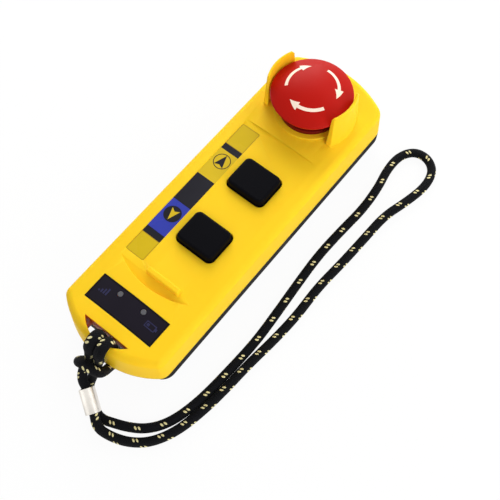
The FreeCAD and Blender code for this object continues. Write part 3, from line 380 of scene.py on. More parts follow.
@dataclass(frozen=True)
class Braid(Finish):
    """A round braid of crossing yarns with pairs of flecks.

    The map's u runs along the cord in millimetres and its v once round it. The flecks' sizes, too, are in
    millimetres.
    """

    shadow: Colour
    fleck: Colour
    carriers: float = 8.0
    lay: float = 0.62
    crossing: float = 0.35
    shade_range: Spot = (0.1, 0.8)
    girth: float = 14.1
    flecks_per_turn: float = 4.0
    fleck_pitch: float = 11.68
    fleck_step: float = -3.6
    fleck_start: float = 3.2
    fleck_apart: float = 0.85
    fleck_lean: float = 0.45
    fleck_long: float = 0.52
    fleck_wide: float = 0.85
    fleck_fade: Spot = (1.2, 0.7)
    fleck_rise: float = 0.4
    fleck_gloss: float = 0.15
    roughness: float = 0.72
    relief: float = 0.00016
    sheen: float = 0.02
    sheen_roughness: float = 0.5
    specular: float = 0.08

    def shade(self, bench: NodeBench, shader: Node) -> None:
        """Joins the weave and its flecks to the shader.

        Args:
            bench: The bench of the material's tree.
            shader: Its Principled shader.
        """
        place = bench.add("ShaderNodeUVMap", uv_map="braid").outputs[0]
        along, around, _ = bench.add("ShaderNodeSeparateXYZ", {0: place}).outputs
        height = self.weave(bench, along, around)
        mask = self.flecks(bench, along, around)
        yarn = bench.blend(bench.ramp(height, *self.shade_range), self.shadow, self.colour)
        raised = bench.math("MULTIPLY_ADD", mask, self.fleck_rise, height)
        bench.fill(shader, {
            "Base Color": bench.blend(mask, yarn, self.fleck),
            "Roughness": bench.math("MULTIPLY_ADD", mask, -self.fleck_gloss, self.roughness),
            "Normal": bench.bump(raised, self.relief).outputs[0],
            "Sheen Weight": self.sheen,
            "Sheen Roughness": self.sheen_roughness,
            "Specular IOR Level": self.specular,
        })

    def weave(self, bench: NodeBench, along: Socket, around: Socket) -> Socket:
        """Makes the height of two sets of yarns that cross over and under.

        Args:
            bench: The bench of the material's tree.
            along: Millimetres along the cord.
            around: Turns round the cord.

        Returns:
            The height, 0 in the gaps to 1 on the yarns.
        """
        turns = bench.math("MULTIPLY", around, self.carriers)
        steps = bench.math("MULTIPLY", along, self.lay)
        left = bench.math("ADD", turns, steps)
        right = bench.math("SUBTRACT", turns, steps)
        ridges = []
        for across in (left, right):
            wave = bench.math("SINE", bench.math("MULTIPLY", across, FULL_TURN))
            ridges.append(bench.math("ABSOLUTE", wave))
        cell = bench.math("SINE", bench.math("MULTIPLY", bench.math("ADD", left, right), math.pi))
        over = bench.ramp(cell, -self.crossing, self.crossing)
        first = bench.math("MULTIPLY", ridges[0], over)
        second = bench.math("MULTIPLY", ridges[1], bench.math("SUBTRACT", 1.0, over))
        return bench.math("ADD", first, second)

    def flecks(self, bench: NodeBench, along: Socket, around: Socket) -> Socket:
        """Makes the mask of the tracer yarns: pairs of short flecks that climb round the cord.

        Args:
            bench: The bench of the material's tree.
            along: Millimetres along the cord.
            around: Turns round the cord.

        Returns:
            The mask, 1 on a fleck.
        """
        stations = bench.math("MULTIPLY", around, self.flecks_per_turn)
        station = bench.math("ROUND", stations)
        off_station = bench.math("SUBTRACT", stations, station)
        beside = bench.math("MULTIPLY", off_station, self.girth / self.flecks_per_turn)
        odd = bench.math("MODULO", station, 2.0)
        shift = bench.math("MULTIPLY_ADD", odd, self.fleck_step, self.fleck_start)
        half_pitch = self.fleck_pitch / 2
        local = bench.math("WRAP", bench.math("SUBTRACT", along, shift), half_pitch, -half_pitch)
        masks = []
        for middle in (-self.fleck_apart, self.fleck_apart):
            lean = bench.math("MULTIPLY_ADD", beside, self.fleck_lean, middle)
            away = bench.math("DIVIDE", bench.math("SUBTRACT", local, lean), self.fleck_long)
            wide = bench.math("DIVIDE", beside, self.fleck_wide)
            reach = bench.math("ADD", bench.math("POWER", away, 2.0), bench.math("POWER", wide, 2.0))
            masks.append(bench.ramp(reach, *self.fleck_fade))
        return bench.math("MAXIMUM", *masks)


class Palette:
    """The finishes of this transmitter."""

    CASE = Moulding("case_yellow", srgb(255, 206, 38), srgb(253, 199, 28), 0.5, 0.08, 2200.0, 0.00001, 0.06,
                    translucence=0.2, edge=0.0006)
    # Painted shade: deep orange for the shade and caught light inside the lanyard's pocket, whose walls are
    # the case's yellow.
    CASE_PAINTED_SHADE = Moulding("case_depth", srgb(255, 112, 14), srgb(250, 100, 10), 0.5, 0.08, 2200.0, 0.00001,
                          0.1, translucence=1.0)
    TUB = Moulding("tub_black", srgb(9, 9, 10), srgb(6, 6, 7), 0.6, 0.1, 1800.0, 0.00003, 0.05)
    KEY = Moulding("key_black", srgb(6, 6, 10), srgb(4, 4, 7), 0.55, 0.1, 2400.0, 0.00002, 0.035)
    STOP = Moulding("stop_red", srgb(184, 24, 15), srgb(173, 18, 12), 0.46, 0.08, 2600.0, 0.000006, 0.07)
    # Partly painted shade: a red collar whose red is darkened to the shade under the mushroom's rim.
    COLLAR_PAINTED_SHADE = Moulding("collar_red", srgb(108, 9, 5), srgb(92, 7, 4), 0.5, 0.08, 2600.0, 0.00001, 0.15)
    BUSH = Moulding("bush_black", srgb(18, 16, 16), srgb(12, 11, 11), 0.6, 0.08, 2400.0, 0.00002, 0.15)
    RUBBER = Moulding("seal_rubber", srgb(26, 26, 26), srgb(16, 16, 16), 0.75, 0.05, 1500.0, 0.00003)
    CHIP = Moulding("chip_resin", srgb(34, 34, 36), srgb(24, 24, 26), 0.55, 0.05, 3000.0)
    LAMP = Moulding("lamp_epoxy", srgb(205, 208, 205), srgb(180, 184, 180), 0.3)
    GUIDE = Moulding("light_guide", srgb(88, 88, 92), srgb(70, 70, 76), 0.3, 0.05, 2000.0, 0.00001, 0.3)
    BOARD = Moulding("board_laminate", srgb(20, 96, 52), srgb(12, 72, 38), 0.35, 0.08, 900.0, 0.00002)
    CELL = Moulding("cell_sleeve", srgb(46, 48, 54), srgb(34, 36, 42), 0.3)
    FILM = Moulding("lamp_film", srgb(22, 18, 28), srgb(18, 15, 24), 0.42, 0.1, 3000.0, 0.000008, 0.09)
    STEEL = Metal("plated_steel", (0.56, 0.56, 0.55, 1.0))
    CRIMP = Metal("crimp_sleeve", (0.82, 0.78, 0.72, 1.0), 0.28, 400.0)
    WINDOW = Ink("strip_window", srgb(208, 177, 26), 0.26)
    STRIP_YELLOW = Ink("strip_yellow", srgb(212, 180, 34), 0.28)
    STRIP_BLACK = Ink("strip_black", srgb(24, 23, 31), 0.32)
    STRIP_BLUE = Ink("strip_blue", srgb(52, 62, 164), 0.26)
    STRIP_LINE = Ink("strip_line", srgb(176, 138, 26), 0.3)
    STOP_ARROW = Ink("stop_arrow", srgb(255, 235, 215), 0.4)
    FILM_EDGE = Ink("film_edge", srgb(9, 7, 9), 0.5, specular=0.08)
    SYMBOL = Ink("lamp_symbol", srgb(44, 44, 76), 0.35)
    CORD = Braid("cord_braid", srgb(10, 11, 15), srgb(3, 3, 5), srgb(232, 222, 165))


def placed(name: str, data: bpy.types.ID) -> Piece:
    """Puts a mesh, curve, light or camera into the scene as an object at the origin.

    Args:
        name: The object's name.
        data: What it holds.

    Returns:
        The new object.
    """
    piece = bpy.data.objects.new(name, data)
    bpy.context.scene.collection.objects.link(piece)
    return piece


def finished_object(name: str, mesh: Mesh, *finishes: Finish) -> Piece:
    """Puts a mesh into the scene and gives it its finishes.

    Args:
        name: The object's name.
        mesh: Its mesh, with its place in the vertices.
        *finishes: Finishes for its material slots.

    Returns:
        The new object.
    """
    for finish in finishes:
        mesh.materials.append(finish.material())
    return placed(name, mesh)


def mesh_from(name: str, shape: Shape, smooth_angle: float = 30.0) -> Mesh:
    """Turns a bmesh into a mesh with smooth faces and sharp edges past an angle.

    Args:
        name: The mesh's name.
        shape: The bmesh, which is freed.
        smooth_angle: Edges that turn by more than this many degrees stay sharp.

    Returns:
        The mesh.
    """
    mesh = bpy.data.meshes.new(name)
    shape.to_mesh(mesh)
    shape.free()
    mesh.shade_smooth()
    mesh.set_sharp_from_angle(angle=math.radians(smooth_angle))
    return mesh


def evaluated_mesh(piece: Piece) -> Mesh:
    """Reads an object's mesh with its modifiers applied."""
    graph = bpy.context.evaluated_depsgraph_get()
    return bpy.data.meshes.new_from_object(piece.evaluated_get(graph))


def replace_node(piece: Piece, node: str, body: Body) -> None:
    """Lets a piece stand for a CAD node and ride on its body.

    Args:
        piece: The finished piece.
        node: The CAD node that it hides.
        body: The body that it moves with.
    """
    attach(piece, body.value)
    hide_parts(node)
    LOG.info("%s replaces %s", piece.name, node)


def add_piece(name: str, shape: Shape, finish: Finish, body: Body, angle: float = 30.0) -> None:
    """Adds a piece that stands for no CAD node.

    Args:
        name: The piece's name.
        shape: Its shape, which is freed.
        finish: Its finish.
        body: The body that it moves with.
        angle: Edges that turn by more than this many degrees stay sharp.
    """
    add_to_body(finished_object(name, mesh_from(name, shape, angle), finish), body)


def add_to_body(piece: Piece, body: Body) -> None:
    """Lets an added piece ride on a body.

    Args:
        piece: The finished piece.
        body: The body that it moves with.
    """
    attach(piece, body.value)
    LOG.info("%s added to %s", piece.name, body.value)


def finish_nodes(finish: Finish, *nodes: str) -> None:
    """Gives CAD nodes that keep their own shape a finish.

    Args:
        finish: The finish.
        *nodes: The nodes' names.
    """
    for node in nodes:
        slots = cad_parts[node].data.materials
        slots.clear()
        slots.append(finish.material())
        LOG.info("%s finished in %s", node, finish.name)


def smooth_copy(node: str, finish: Finish, angle: float) -> Piece:
    """Copies a CAD node as one joined, smoothly shaded mesh.

    Args:
        node: The CAD node.
        finish: Its finish.
        angle: Edges that turn by more than this many degrees stay sharp.

    Returns:
        The copy.
    """
    shape = bmesh.new()
    shape.from_mesh(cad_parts[node].data)
    bmesh.ops.remove_doubles(shape, verts=shape.verts, dist=CAD_WELD)
    rough = placed(node + "_rough", mesh_from(node + "_rough", shape, angle))
    even = rough.modifiers.new("even", "WEIGHTED_NORMAL")
    even.keep_sharp = True
    even.weight = 100
    mesh = evaluated_mesh(rough)
    bpy.data.objects.remove(rough)
    mesh.name = node + "_skin"
    mesh.materials.clear()
    return finished_object(mesh.name, mesh, finish)


def seat_spring(node: str, angle: float = 40.0) -> None:
    """Dresses a coil spring as a smooth steel copy that rides on the housing.

    Args:
        node: The CAD node of the spring.
        angle: Edges that turn by more than this many degrees stay sharp.
    """
    spring = smooth_copy(node, Palette.STEEL, angle)
    replace_node(spring, node, Body.HOUSING)
    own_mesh(spring)


def box_corners(left: float, bottom: float, right: float, top: float, inset: float = 0.0) -> list[Spot]:
    """The corners of a rectangle drawn in by an inset, counter-clockwise.

    Args:
        left: Its lowest x.
        bottom: Its lowest y.
        right: Its highest x.
        top: Its highest y.
        inset: How far its sides are drawn in.

    Returns:
        The corners (x, y).
    """
    return [
        (left + inset, bottom + inset), (right - inset, bottom + inset),
        (right - inset, top - inset), (left + inset, top - inset),
    ]


def arc_points(centre: Spot, radius: float, start: float, end: float, steps: int) -> list[Spot]:
    """Points of an arc, both ends included.

    Args:
        centre: The arc's centre.
        radius: Its radius.
        start: First angle in degrees.
        end: Last angle in degrees.
        steps: Number of steps.

    Returns:
        The points (x, y).
    """
    angles = [math.radians(start + (end - start) * step / steps) for step in range(steps + 1)]
    return [(centre[0] + radius * math.cos(angle), centre[1] + radius * math.sin(angle)) for angle in angles]


def circle_points(centre: Spot, radius: float, count: int) -> list[Spot]:
    """Points evenly round a circle, counter-clockwise."""
    return arc_points(centre, radius, 0, 360 - 360 / count, count - 1)


def prism(shape: Shape, outline: list[Spot], low: float, high: float, slot: int = 0) -> None:
    """Adds an upright prism to a bmesh.

    Args:
        shape: The bmesh to add to.
        outline: Corners (x, y), counter-clockwise, in metres.
        low: Height of the bottom.
        high: Height of the top.
        slot: Material slot of its faces.
    """
    bottom = [shape.verts.new((x, y, low)) for x, y in outline]
    top = [shape.verts.new((x, y, high)) for x, y in outline]
    faces = [shape.faces.new(top), shape.faces.new(reversed(bottom))]
    for index, corner in enumerate(bottom):
        after = (index + 1) % len(bottom)
        faces.append(shape.faces.new((corner, bottom[after], top[after], top[index])))
    for face in faces:
        face.material_index = slot


def annulus(shape: Shape, outer: list[Spot], inner: list[Spot], low: float, high: float) -> None:
    """Adds a flat ring with the same number of points on both outlines.

    Args:
        shape: The bmesh to add to.
        outer: Points of the outside, counter-clockwise.
        inner: Points of the inside.
        low: Height of the bottom.
        high: Height of the top.
    """
    rows = []
    for outline, height in ((outer, low), (outer, high), (inner, high), (inner, low)):
        rows.append([shape.verts.new((x, y, height)) for x, y in outline])
    for row, following in zip(rows, rows[1:] + rows[:1]):
        for index in range(len(row)):
            after = (index + 1) % len(row)
            shape.faces.new((row[index], row[after], following[after], following[index]))


def spun(outline: list[Spot], segments: int, axis: Spot = (0.0, 0.0)) -> Shape:
    """Turns an outline of (radius, height) once round an upright axis.

    Args:
        outline: Points of the outline, in metres.
        segments: Steps round the axis.
        axis: Where the axis stands.

    Returns:
        The closed shape.
    """
    shape = bmesh.new()
    verts = [shape.verts.new((radius, 0, height)) for radius, height in outline]
    edges = [shape.edges.new(pair) for pair in zip(verts, verts[1:])]
    bmesh.ops.spin(
        shape, geom=verts + edges, cent=(0, 0, 0), axis=(0, 0, 1), angle=FULL_TURN, steps=segments,
        use_merge=True,
    )
    bmesh.ops.remove_doubles(shape, verts=shape.verts, dist=TURNED_WELD)
    bmesh.ops.recalc_face_normals(shape, faces=shape.faces)
    bmesh.ops.translate(shape, verts=shape.verts, vec=(*axis, 0))
    return shape


class GeometryBench(NodeBench):
    """A Geometry Nodes tree with named inputs, which ends in plain faces of one material."""

    def __init__(self, name: str, inputs: dict[str, str]) -> None:
        """Starts the tree.

        Args:
            name: The tree's name.
            inputs: Names and socket types of the inputs beside the geometry and the finish.
        """
        super().__init__(bpy.data.node_groups.new(name, "GeometryNodeTree"))
        new_socket = self.tree.interface.new_socket
        new_socket("Geometry", in_out="INPUT", socket_type="NodeSocketGeometry")
        for label, kind in inputs.items():
            new_socket(label, in_out="INPUT", socket_type=kind)
        new_socket("Finish", in_out="INPUT", socket_type="NodeSocketMaterial")
        new_socket("Geometry", in_out="OUTPUT", socket_type="NodeSocketGeometry")
        self.given = self.add("NodeGroupInput").outputs

    def turned(self, points: Socket, part: Socket, step: Socket) -> Socket:
        """Sets a part on every point, each turned one step further about the upright.

        Args:
            points: The points.
            part: The part's geometry.
            step: The angle from one copy to the next, in radians.

        Returns:
            The instances.
        """
        index = self.add("GeometryNodeInputIndex").outputs[0]
        turn = self.add("ShaderNodeCombineXYZ", {2: self.math("MULTIPLY", index, step)}).outputs[0]
        inputs = {"Points": points, "Instance": part, "Rotation": turn}
        return self.add("GeometryNodeInstanceOnPoints", inputs).outputs[0]

    def close(self, instances: Socket) -> None:
        """Ends the tree in Realize Instances and Set Material.

        Args:
            instances: What the tree has made.
        """
        real = self.add("GeometryNodeRealizeInstances", {0: instances}).outputs[0]
        inputs = {"Geometry": real, "Material": self.given["Finish"]}
        self.add("NodeGroupOutput", {0: self.add("GeometryNodeSetMaterial", inputs).outputs[0]})

    def run(self, name: str, mesh: Mesh, values: dict[str, object]) -> Piece:
        """Runs the tree on a mesh.

        Args:
            name: The finished object's name.
            mesh: The mesh that goes in.
            values: Values of the named inputs.

        Returns:
            A plain object with the result.
        """
        carrier = placed(name + "_seed", mesh)
        modifier = carrier.modifiers.new("build", "NODES")
        modifier.node_group = self.tree
        for item in self.tree.interface.items_tree:
            if item.in_out == "INPUT" and item.name in values:
                modifier[item.identifier] = values[item.name]
        made = evaluated_mesh(carrier)
        carrier.modifiers.remove(modifier)
        bpy.data.objects.remove(carrier)
        made.name = name
        return placed(name, made)


@cache
def turned_copies() -> GeometryBench:
    """Builds the tree that repeats a mesh evenly round an upright axis.

    Returns:
        The tree's bench.
    """
    bench = GeometryBench("turned_copies", {"Copies": "NodeSocketInt", "Centre": "NodeSocketVector"})
    points = bench.add("GeometryNodePoints", {"Count": bench.given["Copies"]}).outputs[0]
    step = bench.math("DIVIDE", FULL_TURN, bench.given["Copies"])
    copies = bench.turned(points, bench.given["Geometry"], step)
    inputs = {"Geometry": copies, "Translation": bench.given["Centre"]}
    bench.close(bench.add("GeometryNodeTransform", inputs).outputs[0])
    return bench


@cache
def seated_copies() -> GeometryBench:
    """Builds the tree that sets a part on every point of a mesh, each turned a little further.

    Returns:
        The tree's bench.
    """
    bench = GeometryBench("seated_copies", {"Part": "NodeSocketObject", "Turn": "NodeSocketFloat"})
    part = bench.add("GeometryNodeObjectInfo", {"Object": bench.given["Part"]}).outputs["Geometry"]
    bench.close(bench.turned(bench.given["Geometry"], part, bench.given["Turn"]))
    return bench


class Drive(Enum):
    """The recess that turns a screw."""

    CROSS = "cross"
    SLOT = "slot"


@dataclass
class Screw:
    """A pan-head screw that stands on its head, with its sizes in millimetres.

    The cheek and the recess are shares of the head's height and radius. The turn is the angle, in radians,
    from one screw to the next.
    """

    name: str
    head_radius: float
    head_height: float
    shank_radius: float
    shank_length: float
    recess: Drive
    faces_up: bool = False
    cheek: float = 0.45
    cross_reach: float = 0.6
    recess_half: float = 0.17
    slot_reach: float = 1.2
    recess_past: float = 1.5
    turn: float = 0.8
    segments: int = 32
    smooth_angle: float = 35.0

    def drive(self, node: str, places: tuple[Point, ...]) -> None:
        """Sets a screw on each place, instead of a CAD node.

        Args:
            node: The CAD node that the screws stand for.
            places: The middles of the faces under their heads, in millimetres.
        """
        part = placed(self.name + "_form", self.mesh())
        seats = bpy.data.meshes.new(node + "_places")
        seats.from_pydata([tuple(value * MM for value in place) for place in places], [], [])
        screws = seated_copies().run(node + "_driven", seats, {
            "Part": part, "Turn": self.turn, "Finish": Palette.STEEL.material(),
        })
        bpy.data.objects.remove(part)
        replace_node(screws, node, Body.HOUSING)

    def mesh(self) -> Mesh:
        """Makes one screw with a domed head and its recess cut out.

        Returns:
            The screw's mesh.
        """
        head = placed(self.name, mesh_from(self.name, spun(self.outline(), self.segments)))
        cutter = placed(self.name + "_recess", self.recess_mesh())
        cut = head.modifiers.new("recess", "BOOLEAN")
        cut.object = cutter
        cut.operation = "DIFFERENCE"
        made = evaluated_mesh(head)
        for spare in (head, cutter):
            bpy.data.objects.remove(spare)
        if self.faces_up:
            made.transform(Matrix.Rotation(math.pi, 4, "X"))
        made.shade_smooth()
        made.set_sharp_from_angle(angle=math.radians(self.smooth_angle))
        return made

    def outline(self) -> list[Spot]:
        """The screw's outline from the top of its head to its point, or to the flat under a bare head.

        Returns:
            The points (radius, height), in metres.
        """
        radius, shank = self.head_radius * MM, self.shank_radius * MM
        points = []
        for degrees in range(0, 91, 10):
            angle = math.radians(degrees)
            height = -self.head_height * (self.cheek + (1 - self.cheek) * math.cos(angle)) * MM
            points.append((self.head_radius * math.sin(angle) * MM, height))
        points.append((radius, 0))
        if self.shank_length:
            points += [(shank, 0), (shank, (self.shank_length - self.shank_radius) * MM)]
        return points + [(0, self.shank_length * MM)]

    def recess_mesh(self) -> Mesh:
        """Makes the cutter of the recess.

        Returns:
            The cutter's mesh.
        """
        long, wide = self.head_radius * self.cross_reach * MM, self.head_radius * self.recess_half * MM
        outline = []
        if self.recess is Drive.SLOT:
            reach = self.slot_reach * self.head_radius * MM
            outline = box_corners(-reach, -wide, reach, wide)
        else:
            arm = [(wide, wide), (wide, long), (-wide, long)]
            for _ in range(4):
                outline += arm
                arm = [(-y, x) for x, y in arm]
        cutter = bmesh.new()
        prism(cutter, outline, -self.recess_past * self.head_height * MM, -self.cheek * self.head_height * MM)
        return mesh_from(self.name + "_recess", cutter)


@dataclass
class Case:
    """The yellow top, the black tub and what closes them."""

    smooth_angle: float = 24.0
    pocket_back: float = -83.1 * MM
    pocket_centre: float = -70.73 * MM
    pocket_radius: float = 19.5 * MM
    pocket_side: float = 13.7 * MM
    pocket_lean: float = 0.5
    screw: Screw = field(default_factory=lambda: Screw("case_screw", 2.5, 2.0, 1.3, 14.0, Drive.CROSS))
    screw_places: tuple[Point, ...] = ((-20, 80, 9), (20, 80, 9), (-21.6, -69, 9), (21.6, -69, 9))

    def build(self) -> None:
        """Dresses the two shells and drives the case screws."""
        top = smooth_copy("upper_housing", Palette.CASE, self.smooth_angle)
        self.paint_pocket_shade(top)
        replace_node(top, "upper_housing", Body.HOUSING)
        tub = smooth_copy("lower_housing", Palette.TUB, self.smooth_angle)
        replace_node(tub, "lower_housing", Body.HOUSING)
        finish_nodes(Palette.RUBBER, "housing_gasket")
        finish_nodes(Palette.TUB, "battery_door")
        self.screw.drive("housing_screws", self.screw_places)

    def paint_pocket_shade(self, skin: Piece) -> None:
        """Paints the walls inside the lanyard's slot deep orange: painted shade and painted light caught
        between them, on what is the case's yellow plastic.

        Args:
            skin: The dressed top.
        """
        skin.data.materials.append(Palette.CASE_PAINTED_SHADE.material())
        for face in skin.data.polygons:
            x, y, _ = face.center
            in_arc = math.hypot(x, y - self.pocket_centre) < self.pocket_radius and abs(x) < self.pocket_side
            upright = abs(face.normal.z) < self.pocket_lean
            face.material_index = int(in_arc and y < self.pocket_back and upright)


class Ray(Enum):
    """Which way an arrow of the label strip points."""

    UP = 1
    DOWN = -1


@dataclass
class Keypad:
    """The keys and the coloured strip beside them.

    The bounds of the strip's fields are in millimetres, and so are each arrow's tip, tail, notch and half
    width.
    """

    panel: float = 31 * MM
    travel: float = 1.8 * MM
    key_angle: float = 32.0
    strip_left: float = -20.7 * MM
    strip_right: float = -10.3 * MM
    strip_depth: float = 0.35 * MM
    strip_sink: float = 0.08 * MM
    print_lift: float = 0.03 * MM
    bounds: tuple[float, ...] = (35.8, 22.2, 18.8, 1.4, -16.1, -34.2, -37.8, -49.2)
    arrow_x: float = -15.3 * MM
    up_arrow_y: float = 12.9 * MM
    down_arrow_y: float = -23.0 * MM
    up_arrow: Box = (3.9, 3.0, 2.0, 2.45)
    down_arrow: Box = (3.5, 2.8, 1.5, 2.2)
    ring_radius: float = 4.3 * MM
    ring_width: float = 0.4 * MM
    ring_points: int = 48
    border: float = 0.3 * MM

    def build(self) -> None:
        """Dresses the keys and prints the strip."""
        for node, body in (("up_button", Body.UP_KEY), ("down_button", Body.DOWN_KEY)):
            replace_node(smooth_copy(node, Palette.KEY, self.key_angle), node, body)
        finish_nodes(Palette.RUBBER, "button_seals")
        finish_nodes(Palette.CHIP, "up_switch", "down_switch")
        for key in ("up", "down"):
            seat_spring(f"{key}_button_spring")
        self.build_strip()
        self.build_borders()
        for ray in Ray:
            self.build_arrow(ray)

    def build_strip(self) -> None:
        """Makes the film of windows, bars and colour fields."""
        fields = [
            Palette.WINDOW, Palette.STRIP_BLACK, Palette.STRIP_YELLOW, Palette.STRIP_BLACK,
            Palette.STRIP_BLUE, Palette.STRIP_BLACK, Palette.WINDOW,
        ]
        inks = list(dict.fromkeys(fields))
        low, high = self.panel - self.strip_depth, self.panel - self.strip_sink
        shape = bmesh.new()
        for ink, top, bottom in zip(fields, self.bounds, self.bounds[1:]):
            outline = box_corners(self.strip_left, bottom * MM, self.strip_right, top * MM)
            prism(shape, outline, low, high, inks.index(ink))
        strip = finished_object("strip_film", mesh_from("strip_film", shape), *inks)
        replace_node(strip, "label_strip", Body.HOUSING)

    def build_borders(self) -> None:
        """Prints the thin frames of the two windows at the strip's ends."""
        low = self.panel - self.strip_sink
        shape = bmesh.new()
        for top, bottom in (self.bounds[:2], self.bounds[-2:]):
            corners = (self.strip_left, bottom * MM, self.strip_right, top * MM)
            inner = box_corners(*corners, self.border)
            annulus(shape, box_corners(*corners), inner, low, low + self.print_lift)
        add_piece("window_frames", shape, Palette.STRIP_LINE, Body.HOUSING)

    def build_arrow(self, ray: Ray) -> None:
        """Prints an arrow and its ring: a dark arrow in an open ring for up, a pale one on a disc for down.

        Args:
            ray: Which way the arrow points.
        """
        upward = ray is Ray.UP
        middle = (self.arrow_x, self.up_arrow_y if upward else self.down_arrow_y)
        low = self.panel - self.strip_sink
        high = low + self.print_lift
        ring = bmesh.new()
        outer = circle_points(middle, self.ring_radius, self.ring_points)
        if upward:
            inner = circle_points(middle, self.ring_radius - self.ring_width, self.ring_points)
            annulus(ring, outer, inner, low, high)
        else:
            prism(ring, outer, low, high)
        name = ray.name.lower()
        add_piece(f"{name}_ring", ring, Palette.STRIP_BLACK, Body.HOUSING)
        arrow = bmesh.new()
        prism(arrow, self.arrow_outline(middle, ray), high, high + self.print_lift)
        ink = Palette.STRIP_BLACK if upward else Palette.STRIP_YELLOW
        add_piece(f"{name}_arrow", arrow, ink, Body.HOUSING)

    def arrow_outline(self, middle: Spot, ray: Ray) -> list[Spot]:
        """The outline of a notched arrow inside the ring, counter-clockwise.

        Args:
            middle: The ring's middle.
            ray: Which way the arrow points.

        Returns:
            The corners (x, y).
        """
        tip, tail, notch, half = self.up_arrow if ray is Ray.UP else self.down_arrow
        corners = [(0.0, tip), (-half, -tail), (0.0, -notch), (half, -tail)]
        return [(middle[0] + ray.value * x * MM, middle[1] + ray.value * y * MM) for x, y in corners]


@dataclass
class LampFilm:
    """The dark film over the lamps, with two plain symbols.

    A bar of the radio symbol starts and ends in pitches and rises in millimetres.
    """

    crown_top: float = 32.3 * MM
    crown_radius: float = 168.66 * MM
    film: Box = (-19.25 * MM, -77.75 * MM, 19.25 * MM, -64.45 * MM)
    film_angle: float = 30.0
    edge: float = 0.75 * MM
    edge_steps: int = 16
    print_lift: float = 0.04 * MM
    stroke: float = 0.42 * MM
    signal: Spot = (-13.6 * MM, -70.6 * MM)
    bars: int = 4
    bar_pitch: float = 1.35 * MM
    bar_start: float = 2.0
    bar_end: float = 1.4
    bar_foot: float = 1.6
    bar_rise: float = 0.9
    bar_low: float = 0.8
    battery: Spot = (13.4 * MM, -70.6 * MM)
    battery_half: Spot = (2.7 * MM, 1.5 * MM)
    nub_share: float = 0.45

    def build(self) -> None:
        """Finishes the film, its lamps and its symbols."""
        film = smooth_copy("led_label", Palette.FILM, self.film_angle)
        replace_node(film, "led_label", Body.HOUSING)
        finish_nodes(Palette.GUIDE, "led_lenses")
        finish_nodes(Palette.LAMP, "status_leds")
        for name, boxes, ink in (
            ("lamp_symbols", self.signal_bars() + self.battery_lines(), Palette.SYMBOL),
            ("film_border", self.edge_strips(), Palette.FILM_EDGE),
        ):
            shape = bmesh.new()
            for box in boxes:
                self.add_stroke(shape, box_corners(*box))
            add_piece(name, shape, ink, Body.HOUSING)

    def edge_strips(self) -> list[Box]:
        """The film's dark edge in short pieces that follow the crown.

        Returns:
            Each piece's left, bottom, right and top.
        """
        left, bottom, right, top = self.film
        step = (right - left) / self.edge_steps
        strips = [
            (left, bottom + self.edge, left + self.edge, top - self.edge),
            (right - self.edge, bottom + self.edge, right, top - self.edge),
        ]
        for index in range(self.edge_steps):
            start = left + index * step
            strips.append((start, bottom, start + step, bottom + self.edge))
            strips.append((start, top - self.edge, start + step, top))
        return strips

    def signal_bars(self) -> list[Box]:
        """The rising bars of the radio symbol.

        Returns:
            Each bar's left, bottom, right and top.
        """
        x, y = self.signal
        boxes = []
        for bar in range(self.bars):
            left = x + (bar - self.bar_start) * self.bar_pitch
            right = x + (bar - self.bar_end) * self.bar_pitch
            top = y + (bar * self.bar_rise - self.bar_low) * MM
            boxes.append((left, y - self.bar_foot * MM, right, top))
        return boxes

    def battery_lines(self) -> list[Box]:
        """The outline, nub and charge of the battery symbol.

        Returns:
            Each line's left, bottom, right and top.
        """
        x, y = self.battery
        half, tall = self.battery_half
        line, nub = self.stroke, tall * self.nub_share
        return [
            (x - half, y - tall, x + half, y - tall + line), (x - half, y + tall - line, x + half, y + tall),
            (x - half, y - tall, x - half + line, y + tall), (x + half - line, y - tall, x + half, y + tall),
            (x + half, y - nub, x + half + 2 * line, y + nub),
            (x - half + 2 * line, y - tall + 2 * line, x - half + 5 * line, y + tall - 2 * line),
        ]

    def add_stroke(self, shape: Shape, corners: list[Spot]) -> None:
        """Lays a thin printed box on the crowned film.

        Args:
            shape: The bmesh to add to.
            corners: The box's corners (x, y), counter-clockwise.
        """
        base = self.crown_top - self.crown_radius
        top, foot = [], []
        for x, y in corners:
            height = base + math.sqrt(self.crown_radius * self.crown_radius - x * x)
            top.append(shape.verts.new((x, y, height + self.print_lift)))
            foot.append(shape.verts.new((x, y, height - self.print_lift)))
        shape.faces.new(top)
        for index in range(len(corners)):
            shape.faces.new((foot[index - 1], foot[index], top[index], top[index - 1]))


